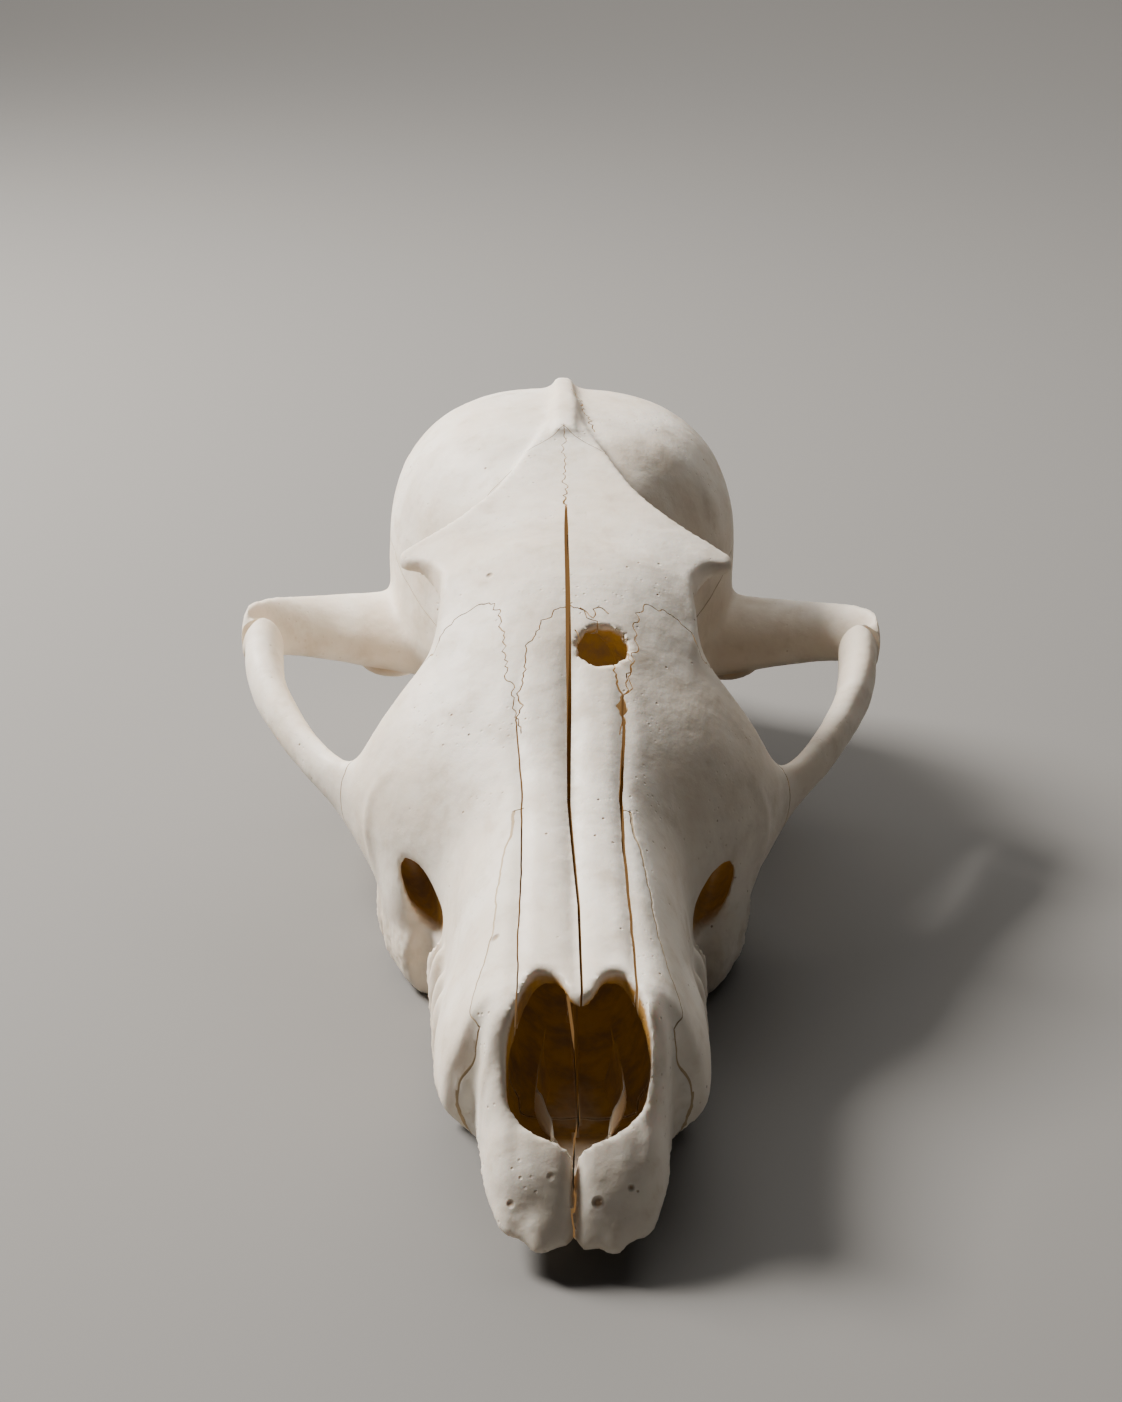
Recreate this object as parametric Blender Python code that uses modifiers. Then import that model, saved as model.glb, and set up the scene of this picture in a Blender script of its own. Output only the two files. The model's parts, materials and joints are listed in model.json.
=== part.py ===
"""Red fox skull without the lower jaw, life size, resting on its molar rows and ear capsules.

The nose points along -Y, the skull's left side is +X and the floor is z = 0. The skull is one
solid, given as a signed distance at every point of space, and thin cuts along the sutures part
it into its bones. Shapes are worked out in millimetres: across, behind the front tip, and up.
"""
import math

import bmesh
import bpy
from mathutils import Vector
from mathutils.bvhtree import BVHTree

MM = 0.001

# driving dimensions, in millimetres
LENGTH = 147.0            # front tip to the back of the condyles
BRAIN_HALF = 22.8         # half width of the brain case
ARCH_HALF = 39.6          # half width over the cheek arches
CAVITY_FLOOR = 7.5        # of the nasal cavity, above the floor
CAVITY_MID = 0.4          # how far the nasal cavity lies to the left of the midline
PLATE = 0.6               # thickness of the plates inside the nose
SUTURE = 0.3              # width of a cut between two bones
MID = LENGTH / 2          # the origin lies under the middle of the length
SPACE = ((-44, 44), (-3 - MID, 152 - MID), (-3, 57))  # the block of space that holds the skull
GRID = 0.75               # spacing of the samples that the surface is drawn through
TRIANGLES = 8600          # of the whole skull before it is parted
TINY = 0.03               # edges shorter than this are closed up
FLAT = (2.5, 1.8, 1.2, 0.7, 0.3, 0.1)  # degrees; faces that bend less than this become one
CREASE = 50               # degrees; edges that bend more than this are shaded sharp
SLANT = (0.13, 0.11, 1.0)  # direction of the rays that tell inside from outside

# finishes
BONE = (0.78, 0.72, 0.6)
AMBER = (0.45, 0.27, 0.1)
BONE_ROUGH = 0.55
PLATE_ROUGH = 0.6

# the upper line of the skull in side view: distance behind the front tip, height
DORSAL = ((0, 4), (4, 9), (8, 13), (11, 17.5), (13, 21.4), (20, 22.8), (30, 25), (40, 27.8),
          (50, 31.6), (58, 35.8), (66, 40.2), (74, 43.2), (92, 46.8), (108, 50.7), (116, 51.3),
          (128, 50.1), (138, 46.4), (146, 41))

# tooth sockets of one side: across, behind the tip, height of the rim, half width, half length, depth
SOCKETS = ((1.7, 1.5, 1.2, 0.9, 1.1, 1.7), (4.6, 2.0, 1.4, 1.0, 1.1, 1.8),
           (7.2, 5.2, 2.2, 1.0, 1.5, 2.4), (10.2, 18.0, 6.6, 1.8, 3.0, 6.0),
           (10.3, 25.8, 3.6, 0.9, 1.2, 2.6), (10.7, 31.2, 2.6, 0.9, 1.3, 3.0),
           (10.9, 35.2, 2.1, 0.9, 1.3, 3.0), (11.3, 40.5, 1.4, 1.0, 1.4, 3.2),
           (11.6, 44.8, 1.0, 1.0, 1.4, 3.2), (14.6, 53.2, 0.4, 1.1, 1.2, 3.4),
           (16.9, 57.0, 0.0, 1.3, 1.7, 3.6), (17.9, 61.4, 0.0, 1.2, 1.4, 3.4),
           (17.7, 65.4, 0.0, 1.2, 1.4, 3.4), (13.2, 63.2, 0.4, 1.3, 1.5, 3.0),
           (15.6, 69.8, 0.0, 1.0, 1.2, 2.8), (14.0, 73.4, 0.0, 0.9, 1.1, 2.6))

# sutures seen from above, on one side: across, behind the tip
NASAL_EDGE = ((5.6, 10), (5.6, 14), (5.5, 22), (5.2, 32), (5.1, 44), (5.7, 52), (4.7, 61), (2.5, 65),
              (-0.4, 67))
FRONTAL_EDGE = ((5.2, 51), (5.9, 57), (6.8, 62), (8.2, 66.5), (11.5, 67.5), (14, 68.5), (17.5, 70.5),
                (22, 72))
CORONAL = ((-0.3, 104.2), (3, 101.5), (8, 97.5), (14, 94.5), (24, 92.2))
TEMPORAL_EDGE = ((26, 97), (13, 97), (9.6, 101), (9, 115), (9.3, 136.8))
JUGAL_EDGE = ((30, 59), (24.6, 64.2), (20.2, 69), (18.2, 75), (17, 84))
ARCH_GAP = ((33, 98.6), (43, 94.4))
EAR_WALL = ((21, 105.4), (4.2, 105.4), (4.2, 128.4), (21, 128.4))
# sutures seen from the side: behind the tip, height
PREMAXILLA_EDGE = ((14.4, 7), (14.4, 10.6), (17.5, 14.5), (24, 17.5), (32, 20.5), (38, 24.5),
                   (42.5, 29.5))
PARIETAL_EDGE = ((88, 22), (100, 27), (110, 32), (120, 32.5), (130, 29), (138, 26.5))
OCCIPITAL_EDGE = ((141.5, 62), (138.6, 46), (136, 32), (134.4, 20), (134.2, -1))
# places where sutures end
UNDER, OVER = -1.0, 60.0  # below the floor and above the crown
MAXILLA_END = 77.6
PARIETAL_END = 137.2
FRONTAL_FLOOR = 15.8
EAR_TOP = 9.2
NASAL_DEPTH = 9.0
JUGAL_REACH = (2, 34)     # lowest and highest point of the cut around the jugal
ARCH_REACH = (16, 34)
STEP = 3.5                # longest stride of a cutter

# plates inside the nose: behind the tip, height
SEPTUM_TOP = ((16, 9.5), (26, 17), (40, 22), (60, 28))
CURL_FOOT = ((5, 10.3), (9, 9.3), (14, 8.7), (20, 8.8))
CURL_TOP = ((7.6, 10.2), (10, 11.6), (14, 13.6), (20, 14.6))
CURL_BULGE = 0.8          # how far a curled plate bulges outward
PLATE_ROWS = (0.0, 0.35, 0.7, 1.0)  # shares of a plate's height

# a place inside each bone: across, behind the tip, up
PAIRED = {"premaxilla": (5.5, 6, 5.5), "nasal": (2.6, 40, 27.1), "maxilla": (9.5, 30, 9),
          "frontal": (6, 80, 33), "jugal": (33.5, 82, 21.2), "temporal": (19, 112, 20),
          "ear_capsule": (11.2, 117, 3)}
SINGLE = {"parietal": (0, 118, 44), "cranial_base": (0, 110, 14), "occipital": (0, 139.5, 34)}


class Field:
    """A number worked out at every point of space; arithmetic on it adds nodes to one tree."""

    tree = None

    def __init__(self, socket):
        self.socket = socket

    def __add__(self, other):
        return maths("ADD", self, other)

    __radd__ = __add__

    def __sub__(self, other):
        return maths("SUBTRACT", self, other)

    def __rsub__(self, other):
        return maths("SUBTRACT", other, self)

    def __mul__(self, other):
        return maths("MULTIPLY", self, other)

    __rmul__ = __mul__

    def __truediv__(self, other):
        return maths("DIVIDE", self, other)

    def __neg__(self):
        return maths("MULTIPLY", self, -1.0)

    def __abs__(self):
        return maths("ABSOLUTE", self)


def feed(node, inputs):
    """Link or set the first inputs of a node."""
    for socket, value in zip(node.inputs, inputs):
        if isinstance(value, Field):
            Field.tree.links.new(value.socket, socket)
        else:
            socket.default_value = value
    return node


def maths(operation, *inputs, clamp=False):
    node = Field.tree.nodes.new("ShaderNodeMath")
    node.operation = operation
    node.use_clamp = clamp
    return Field(feed(node, inputs).outputs[0])


def low(a, b):
    return maths("MINIMUM", a, b)


def high(a, b):
    return maths("MAXIMUM", a, b)


def join(a, b, fillet):
    """Union of two solids with a fillet."""
    return maths("SMOOTH_MIN", a, b, fillet)


def meet(a, b, edge):
    """What two solids share, with a rounded edge."""
    return maths("SMOOTH_MAX", a, b, edge)


def carve(a, b, edge):
    """The first solid less the second, with a rounded rim."""
    return maths("SMOOTH_MAX", a, -b, edge)


def portion(value, span):
    """Value over span, kept within 0 and 1."""
    return maths("DIVIDE", value, span, clamp=True)


def length(x, y, z=0.0):
    joined = feed(Field.tree.nodes.new("ShaderNodeCombineXYZ"), (x, y, z))
    node = Field.tree.nodes.new("ShaderNodeVectorMath")
    node.operation = "LENGTH"
    return Field(feed(node, (Field(joined.outputs[0]),)).outputs["Value"])


def oval(a, b, power=2.0):
    """1 on a superellipse of unit half axes, less inside it."""
    if power == 2.0:
        return length(a, b)
    lifted = [maths("POWER", high(abs(v), 1e-5), power) for v in (a, b)]
    return maths("POWER", lifted[0] + lifted[1], 1.0 / power)


def curve(at, stations):
    """A smooth curve through a few (place, value) stations, level past its ends."""
    start, end = stations[0][0], stations[-1][0]
    values = [value for _, value in stations]
    least, rise = min(values), (max(values) - min(values)) or 1.0
    node = Field.tree.nodes.new("ShaderNodeFloatCurve")
    dots = node.mapping.curves[0].points
    node.mapping.extend = "HORIZONTAL"
    node.mapping.use_clip = False
    while len(dots) < len(stations):
        dots.new(0.5, 0.5)
    for dot, (place, value) in zip(dots, stations):
        dot.location = ((place - start) / (end - start), (value - least) / rise)
        dot.handle_type = "AUTO_CLAMPED"
    node.mapping.update()
    Field.tree.links.new(portion(at - start, end - start).socket, node.inputs["Value"])
    return Field(node.outputs[0]) * rise + least


def ellipsoid(at, centre, radii, yaw=0.0):
    """Distance to an ellipsoid turned about the vertical by yaw degrees."""
    dx, dy, dz = (a - b for a, b in zip(at, centre))
    if yaw:
        cos, sin = math.cos(math.radians(yaw)), math.sin(math.radians(yaw))
        dx, dy = dx * cos + dy * sin, dy * cos - dx * sin
    rx, ry, rz = radii
    near = length(dx / rx, dy / ry, dz / rz)
    slope = length(dx / rx ** 2, dy / ry ** 2, dz / rz ** 2)
    return near * (near - 1.0) / high(slope, 0.001)


def strut(along, across, up, ends, tables, edge=1.0, power=2.0, lean=0.0):
    """A bar along one axis; tables give its middle line across and up, and its half sizes."""
    middle, level_at, half, tall = (curve(along, table) for table in tables)
    rise = up - level_at
    section = oval((across - middle + rise * lean) / half, rise / tall, power)
    body = (section - 1.0) * low(half, tall)
    return meet(body, high(ends[0] - along, along - ends[1]), edge)


def muzzle(at, crown, roof):
    """Face from the front tip to the orbits, with the bulge that carries the cheek arch."""
    x, y, z = at
    low_half = curve(y, ((0, 8.8), (13.4, 9.3), (15.2, 12.4), (18, 13.1), (24, 13.2), (32, 13.2), (40, 13.4),
                         (48, 13.8), (56, 15.2), (64, 16.2), (70, 15.2), (76, 12.6), (81, 10.4)))
    high_half = curve(y, ((0, 6.6), (6, 7.4), (12, 7.9), (16, 8.6), (26, 8.0), (40, 8.2), (50, 10),
                          (58, 12.2), (66, 14), (76, 14)))
    share = maths("DIVIDE", z - 5, high(crown - 5, 8), clamp=True)
    side = (x - low_half - (high_half - low_half) * share * share) * 0.93
    body = meet(side, z - roof, curve(y, ((12, 5), (30, 6), (54, 10), (70, 8))))
    body = join(body, ellipsoid(at, (9.5, 66, 18), (14.5, 19, 15), yaw=-10), 9)
    keel = curve(y, ((0, 1.7), (8, 2.7), (14, 4.8), (20, 4.8), (28, 3.2), (40, 1.6), (56, 0.3), (80, 0.6)))
    rounding = 0.018 * x * x * portion(16 - y, 6)
    body = meet(body, keel + rounding - z, 2)
    rim = (4.9 + 0.9 * (x - 8.8) - 0.55 * high(y - 18, 0.0) - z) * 0.7
    body = meet(body, rim, 1)
    ahead = low(y - 12 - 0.5 * (z - 3), 0.0) / 12
    front = (oval(x / 9.2, ahead, 3.0) - 1.0) * 9.2 - 1.5 * high(y - 11, 0.0)
    body = meet(body, front * 0.8, 1.2)
    return meet(body, y - 80, 6)


def brain_case(at):
    """Brain case and the narrow part before it, as one run of rounded sections."""
    x, y, z = at
    half = curve(y, ((62, 7), (70, 9.5), (86, 11.2), (92, 12.2), (98, 15.6), (104, 19.2), (110, 21.6),
                     (119, BRAIN_HALF), (128, 21.4), (134, 19.4), (140, 16.8), (146, 13)))
    over = curve(y, ((62, 36), (70, 38), (86, 42), (92, 44.2), (100, 47.6), (108, 50.2), (116, 50.8),
                     (122, 50.6), (128, 49.4), (134, 47.2), (142, 42.4), (146, 38)))
    under = curve(y, ((62, 7), (78, 8), (104, 8), (130, 8.5), (142, 12)))
    middle, tall = (over + under) * 0.5, (over - under) * 0.5
    half = half - 0.22 * high(22 - z, 0.0)
    body = (oval(x / half, (z - middle) / tall, 2.6) - 1.0) * low(half, tall) * 0.9
    back = (y - 141.5) + 0.12 * (30 - z)
    return meet(body, high(66 - y, back), 5)


def brow_plate(at, roof):
    """Flat roof of the frontals, out to the processes behind the orbits."""
    x, y, z = at
    half = curve(y, ((52, 7), (58, 10.6), (64, 13.6), (70, 14.6), (75, 14.3), (78, 15.2), (79.8, 16.9),
                     (81.2, 19.1), (82.2, 19.5), (83.2, 18.2), (85, 14.8), (88.3, 11.2), (92, 8.7), (96, 6.8),
                     (100.5, 4.8), (105, 2.6), (109, 1.3), (114, 0.9)))
    thick = curve(y, ((52, 3), (74, 2.3), (79, 1.6), (82, 1.1), (86, 1.6), (92, 2.2), (110, 2)))
    sunk = curve(y, ((52, 2), (62, 0.5), (72, 0.2)))
    plate = meet((x - half) * 0.8, abs(z - (roof - sunk - thick)) - thick, 1.4)
    return meet(high(plate, 53 - y), y - 114, 2)


def cheek_arch(at, body):
    """Jugal bar and the squamosal bar that meets it from behind."""
    x, y, z = at
    jugal = strut(y, x, z, (58, 97.5), (
        ((58, 18.6), (66, 24.8), (74, 30.1), (82, 34), (86, 35.5), (90, 36.4), (97.5, 37.2)),
        ((58, 16), (66, 18), (74, 19.7), (82, 21.4), (90, 23.2), (97.5, 24.8)),
        ((58, 2.8), (66, 2.1), (74, 2), (82, 2.2), (97.5, 2.3)),
        ((58, 5), (66, 3.4), (72, 2.8), (78, 2.8), (84, 3.2), (90, 3.4), (97.5, 3))), lean=-0.15)
    squamosal = strut(x, y, z, (14, ARCH_HALF), (
        ((14, 111), (24, 110), (31, 107.5), (36, 103.8), (38.4, 100), (39.4, 98)),
        ((14, 20.6), (24, 21.4), (34, 23.4), (39.4, 25.4)),
        ((14, 7), (24, 5.8), (32, 3.8), (39.4, 2.6)),
        ((14, 5), (24, 4.1), (32, 3.4), (39.4, 3))), lean=-0.5)
    body = carve(join(body, jugal, 4), ellipsoid(at, (24.2, 74.2, 22), (3, 5.6, 9), yaw=-28), 2.4)
    body = join(body, ellipsoid(at, (22, 115.2, 17), (5.5, 1.8, 4.2), yaw=-12), 1.5)
    return join(body, squamosal, 2.5)


def hind_parts(at, crown, body):
    """Crests, condyles, ear capsules, base and wing plates."""
    x, y, z = at
    crest = meet(x - 0.8, abs(z - (crown - 1.2)) - 1.8, 1)
    body = join(body, high(crest, high(104 - y, y - 143)), 3.6)
    lean = y - curve(x, ((0, 142.5), (8, 141.5), (14, 138), (19, 131), (23, 124)))
    ring = (oval(x / 21.5, (z - 20) / 25.5, 1.8) - 1.0) * 21.5
    flange = meet(meet(abs(lean) - 1.2, ring, 1.4), 13 - z, 5)
    body = join(body, flange, 3)
    body = join(body, ellipsoid(at, (6.8, 142, 13), (4, 5.4, 6.4), yaw=-20), 1.5)
    body = join(body, ellipsoid(at, (11.2, 117, 7.6), (7.2, 10.4, 7.7), yaw=12), 1)
    body = carve(body, ellipsoid(at, (20.5, 114, 12), (3.6, 2, 2)), 0.8)
    horn = strut(z, x, y, (1, 18), (((0, 15.2), (18, 13.4)), ((0, 131), (18, 129)),
                                    ((0, 1.2), (6, 2.2), (14, 4), (18, 3)), ((0, 1.3), (6, 2), (18, 4))),
                 edge=0.6)
    body = join(body, horn, 1.5)
    base = strut(y, x, z, (86, 144), (((86, 0), (144, 0)), ((86, 10), (144, 11.5)),
                                      ((86, 5), (104, 8), (144, 8)), ((86, 2.4), (110, 3.2), (144, 3.6))),
                 edge=2, power=3)
    body = join(body, base, 3)
    wing = strut(y, x, z, (68, 100), (((68, 9), (80, 7), (92, 6.4), (100, 7.2)),
                                      ((68, 8), (84, 9), (94, 8.4), (100, 6)),
                                      ((68, 2.6), (80, 1.5), (90, 1), (100, 0.8)),
                                      ((68, 6), (84, 6.4), (94, 5), (100, 2))), edge=1.5, power=3)
    body = join(body, wing, 2.5)
    spine = meet(x - 0.7, oval((y - 141) / 4, (z - 34) / 12) * 4 - 4, 1)
    return join(body, high(spine, 26 - z), 2.5)


def palate(at, body):
    """Molar ridge of each side and the hollow between them."""
    x, y, z = at
    ridge = strut(y, x, z, (51, 79), (((49.4, 14.2), (56, 16.4), (62, 17.2), (70, 15.2), (79, 11)),
                                      ((49.4, 4.4), (60, 5.4), (79, 5)), ((49.4, 2.7), (60, 3.5), (79, 2)),
                                      ((49.4, 4.4), (60, 5.6), (79, 4))), edge=0.9)
    body = join(body, ridge, 1.4)
    body = join(body, ellipsoid(at, (18.4, 55.5, 12), (1.8, 4.6, 5.4), yaw=-20), 2)
    body = join(body, ellipsoid(at, (10.2, 23, 10.5), (2.9, 9, 6)), 2.5)
    hollow = strut(y, x, z, (6, 78), (
        ((6, 0), (78, 0)), ((6, 0), (78, 0)),
        ((6, 3.5), (14, 4.8), (26, 7), (40, 7.4), (54, 9.6), (66, 11.4), (78, 8)),
        ((6, 4.6), (18, 6.6), (40, 5), (78, 5))), edge=2, power=3)
    return carve(body, hollow, 1.5)


def cavity(at, across, roof):
    """The nasal cavity and its mouth."""
    _, y, z = at
    mid = abs(across - CAVITY_MID)
    half = curve(y, ((5.6, 0.2), (6.4, 3), (8, 5.2), (10.4, 6.5), (13, 6.7), (40, 6.2), (58, 6.4), (69, 6)))
    edge = y - curve(mid, ((0, 13.3), (0.6, 13.6), (2.3, 16.4), (3.6, 17), (5, 15.6), (6.4, 12.2), (7.2, 10.4),
                           (8, 9)))
    ceiling = roof - 1.3
    floor = curve(y, ((5, 9.6), (9, 8.6), (14, 7.6), (20, CAVITY_FLOOR)))
    middle = (ceiling + floor) * 0.5
    tall = high((ceiling - floor) * 0.5, 2)
    inner = (oval(mid / half, (z - middle) / tall, 2.4) - 1.0) * low(half, tall)
    mouth = high(meet(mid - half, floor - z, 5), edge)
    return high(join(inner, mouth, 0.5), y - 69)


def openings(at, across, body):
    """Hole in the frontal, spinal opening, foramina and tooth sockets."""
    x, y, z = at
    hole = length(across - 3.6, (y - 61.4 + 0.6 * (z - 38)) * 0.86) - 2.8
    body = carve(body, high(hole, 30 - z), 0.3)
    magnum = high(length(x / 1.15, z - 20) - 6.2, 132 - y)
    body = carve(body, magnum, 1)
    canal = strut(y, x, z, (44, 74), (((44, 14.4), (52, 16), (62, 18.4), (74, 21)), ((44, 12), (74, 16.6)),
                                      ((44, 1.7), (60, 1.8), (74, 2)), ((44, 4.4), (60, 3.4), (74, 2.8))),
                  edge=3, lean=-0.25)
    body = carve(body, canal, 0.7)
    for across, back, rim, wide, long, deep in SOCKETS:
        body = carve(body, ellipsoid(at, (across, back, rim), (wide, long, deep)), 0.3)
    return body


def roof_lines(x, y):
    """The upper line and the upper face with its nasal ridges."""
    crown = curve(y, DORSAL)
    droop = curve(y, ((0, 0.3), (50, 1), (60, 2), (66, 3.4), (73, 4.4), (81, 3.4), (90, 1.4)))
    rolled = 1.0 - portion(x, 2.6)
    groove = curve(y, ((14, 0.4), (30, 0.8), (50, 0.9), (64, 0.3), (70, 0)))
    out = x / 18
    beside = 1.0 - portion(abs(x - curve(y, [(back, aside) for aside, back in NASAL_EDGE[:8]])), 1.8)
    valley = curve(y, ((12, 0.3), (24, 0.45), (52, 0.45), (60, 0.1), (66, 0)))
    steep = curve(y, ((8, 0.15), (22, 0.3), (36, 0.42), (50, 0.5), (60, 0.42), (68, 0.2), (75, 0)))
    sloped = steep * high(x - 5.4, 0.0)
    return crown, crown - droop * out * out - groove * rolled * rolled - valley * beside * beside - sloped


def skull(across, y, z):
    """Distance to the whole skull from the place across, behind the tip and up."""
    x = abs(across - curve(y, ((90, 0), (116, 0.4))))
    at = (x, y, z)
    crown, roof = roof_lines(x, y)
    body = muzzle(at, crown, roof)
    body = carve(body, ellipsoid(at, (31, 79.6, 28.4), (20, 17, 16.6)), 1.5)
    body = carve(body, ellipsoid(at, (29, 90, 20), (17, 17, 22)), 2.5)
    body = join(body, brain_case(at), 3)
    body = join(body, brow_plate(at, roof), 2.6)
    body = hind_parts(at, crown, body)
    body = palate(at, body)
    body = cheek_arch(at, body)
    body = openings(at, across, carve(body, cavity(at, across, roof), 1.0))
    return high(body, -z)


def skull_mesh():
    """Closed mesh of the whole skull, drawn through the field and thinned."""
    tree = bpy.data.node_groups.new("skull_field", "GeometryNodeTree")
    tree.interface.new_socket("Geometry", in_out="OUTPUT", socket_type="NodeSocketGeometry")
    Field.tree = tree
    place = tree.nodes.new("GeometryNodeInputPosition")
    parts = feed(tree.nodes.new("ShaderNodeSeparateXYZ"), (Field(place.outputs[0]),))
    across, along, up = (Field(socket) / MM for socket in parts.outputs)
    cube = feed(tree.nodes.new("GeometryNodeVolumeCube"), (-skull(across, along + MID, up), -1.0))
    cube.inputs["Min"].default_value = [start * MM for start, _ in SPACE]
    cube.inputs["Max"].default_value = [end * MM for _, end in SPACE]
    for axis, (start, end) in zip("XYZ", SPACE):
        cube.inputs["Resolution " + axis].default_value = round((end - start) / GRID)
    surface = feed(tree.nodes.new("GeometryNodeVolumeToMesh"), (Field(cube.outputs[0]),))
    surface.inputs["Threshold"].default_value = 0.0
    tree.links.new(surface.outputs[0], tree.nodes.new("NodeGroupOutput").inputs[0])

    whole = bpy.data.objects.new("whole_skull", bpy.data.meshes.new("whole_skull"))
    cutters.objects.link(whole)
    whole.modifiers.new("Field", "NODES").node_group = tree
    whole.data = evaluated_mesh(whole)
    whole.modifiers.clear()
    bm = bmesh.new()
    bm.from_mesh(whole.data)
    keep_largest(bm)
    bm.to_mesh(whole.data)
    bm.free()
    thin = whole.modifiers.new("Thin", "DECIMATE")
    thin.ratio = TRIANGLES / (2 * len(whole.data.polygons))
    whole.data = evaluated_mesh(whole)
    whole.modifiers.clear()
    return whole


def evaluated_mesh(thing):
    graph = bpy.context.evaluated_depsgraph_get()
    graph.update()
    return bpy.data.meshes.new_from_object(thing.evaluated_get(graph))


def shells(bm):
    """Lists of faces, one for each connected surface, in the order of the mesh's own faces."""
    left = set(bm.faces)
    found = []
    for first in bm.faces:
        if first not in left:
            continue
        left.remove(first)
        shell = [first]
        for face in shell:
            for edge in face.edges:
                for other in edge.link_faces:
                    if other in left:
                        left.remove(other)
                        shell.append(other)
        found.append(shell)
    return found


def keep_largest(bm):
    groups = sorted(shells(bm), key=len)
    for group in groups[:-1]:
        bmesh.ops.delete(bm, geom=group, context="FACES")


def level(stations, place):
    """Straight reading of a list of (place, value) stations."""
    for (start, low_value), (end, high_value) in zip(stations, stations[1:]):
        if place <= end:
            share = max(0.0, (place - start) / (end - start))
            return low_value + share * (high_value - low_value)
    return stations[-1][1]


def sheet(name, rows):
    """Thin cutter through rows of points in mm, each row as long as the next."""
    bm = bmesh.new()
    grid = [[bm.verts.new((x * MM, (y - MID) * MM, z * MM)) for x, y, z in row] for row in rows]
    for row, following in zip(grid, grid[1:]):
        for i in range(len(row) - 1):
            bm.faces.new((row[i], row[i + 1], following[i + 1], following[i]))
    mesh = bpy.data.meshes.new(name)
    bm.to_mesh(mesh)
    bm.free()
    thing = bpy.data.objects.new(name, mesh)
    thing.hide_render = True
    thing.display_type = "WIRE"
    thick = thing.modifiers.new("Thickness", "SOLIDIFY")
    thick.thickness = SUTURE * MM
    thick.offset = 0.0
    cutters.objects.link(thing)
    return thing


def curtain(name, path, bottom, top, side=1):
    """Cutter that stands on a path seen from above; bottom and top may depend on the place."""
    def height(limit, y):
        return limit(y) if callable(limit) else limit
    return sheet(name, [[(side * x, y, height(limit, y)) for x, y in path] for limit in (bottom, top)])


def side_curtain(name, path, inner, outer):
    """Cutter that runs across, over a path of (y, z) seen from the side."""
    return sheet(name, [[(x, y, z) for y, z in path] for x in (inner, outer)])


def walk(path):
    """The points of a path with others between them, at most STEP apart."""
    points = [path[0]]
    for start, end in zip(path, path[1:]):
        count = max(1, math.ceil(math.dist(start, end) / STEP))
        points += [tuple(a + (b - a) * i / count for a, b in zip(start, end)) for i in range(1, count + 1)]
    return points


def across_both(path):
    """A path from the midline outward, walked from the far right over the midline to the far left."""
    half = walk(((0, path[0][1]), *path[1:]))
    return [(-x, y) for x, y in half[:0:-1]] + half


def parietal_sheet():
    """Cut under the parietals, from the coronal suture back to the occipital."""
    rows = []
    for x, front in across_both(CORONAL):
        strides = 12
        stations = [front - SUTURE + (PARIETAL_END - front) * i / strides for i in range(strides + 1)]
        rows.append([(x, y, level(PARIETAL_EDGE, y)) for y in stations])
    return sheet("cut_parietal", rows)


def frontal_floor_sheet():
    """Level cut under the frontals, between the maxillae and the coronal suture."""
    return sheet("cut_frontal_floor", [[(x, ahead - SUTURE, FRONTAL_FLOOR),
                                        (x, level(CORONAL, abs(x)) + SUTURE, FRONTAL_FLOOR)]
                                       for x, ahead in across_both((FRONTAL_EDGE[0], *FRONTAL_EDGE))])


def nasal_foot(y):
    return level(DORSAL, y) - NASAL_DEPTH


def midline_foot(y):
    return UNDER if y <= MAXILLA_END else FRONTAL_FLOOR


def temporal_foot(y):
    return EAR_TOP if EAR_WALL[1][1] < y < EAR_WALL[2][1] else UNDER


def temporal_top(y):
    return level(PARIETAL_EDGE, y) + SUTURE


def suture_cutters():
    """Every thin cut that parts the skull."""
    midline = [(0.3, -3), (0.4, 12), (0.2, 40), (0, MAXILLA_END), (0, MAXILLA_END + 0.1), (0, 104.4)]
    cuts = [curtain("cut_midline", midline, midline_foot, OVER),
            side_curtain("cut_incisive", [(14.4, -1), (14.4, 10.6)], -16, 16),
            side_curtain("cut_occipital", OCCIPITAL_EDGE, -30, 30),
            curtain("cut_palatine", [(-22, MAXILLA_END), (22, MAXILLA_END)], UNDER, FRONTAL_FLOOR + SUTURE),
            parietal_sheet(),
            frontal_floor_sheet()]
    for side, word in ((1, "left"), (-1, "right")):
        cuts += [curtain("cut_nasal_" + word, NASAL_EDGE, nasal_foot, OVER, side),
                 side_curtain("cut_premaxilla_" + word, PREMAXILLA_EDGE, side * 4.9, side * 18),
                 curtain("cut_frontal_" + word, FRONTAL_EDGE, FRONTAL_FLOOR - SUTURE, OVER, side),
                 curtain("cut_coronal_" + word, CORONAL, FRONTAL_FLOOR - SUTURE, OVER, side),
                 curtain("cut_temporal_" + word, walk(TEMPORAL_EDGE), temporal_foot, temporal_top, side),
                 curtain("cut_jugal_" + word, JUGAL_EDGE, *JUGAL_REACH, side),
                 curtain("cut_arch_" + word, ARCH_GAP, *ARCH_REACH, side),
                 curtain("cut_ear_side_" + word, EAR_WALL, UNDER, EAR_TOP + SUTURE, side),
                 sheet("cut_ear_top_" + word, [[(side * x, y, EAR_TOP) for x, y in pair]
                                               for pair in (EAR_WALL[:2], EAR_WALL[:1:-1])])]
    return cuts


def bone_material(name, colour, roughness):
    material = bpy.data.materials.new(name)
    material.use_nodes = True
    shader = material.node_tree.nodes["Principled BSDF"]
    shader.inputs["Base Color"].default_value = (*colour, 1.0)
    shader.inputs["Roughness"].default_value = roughness
    return material


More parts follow.
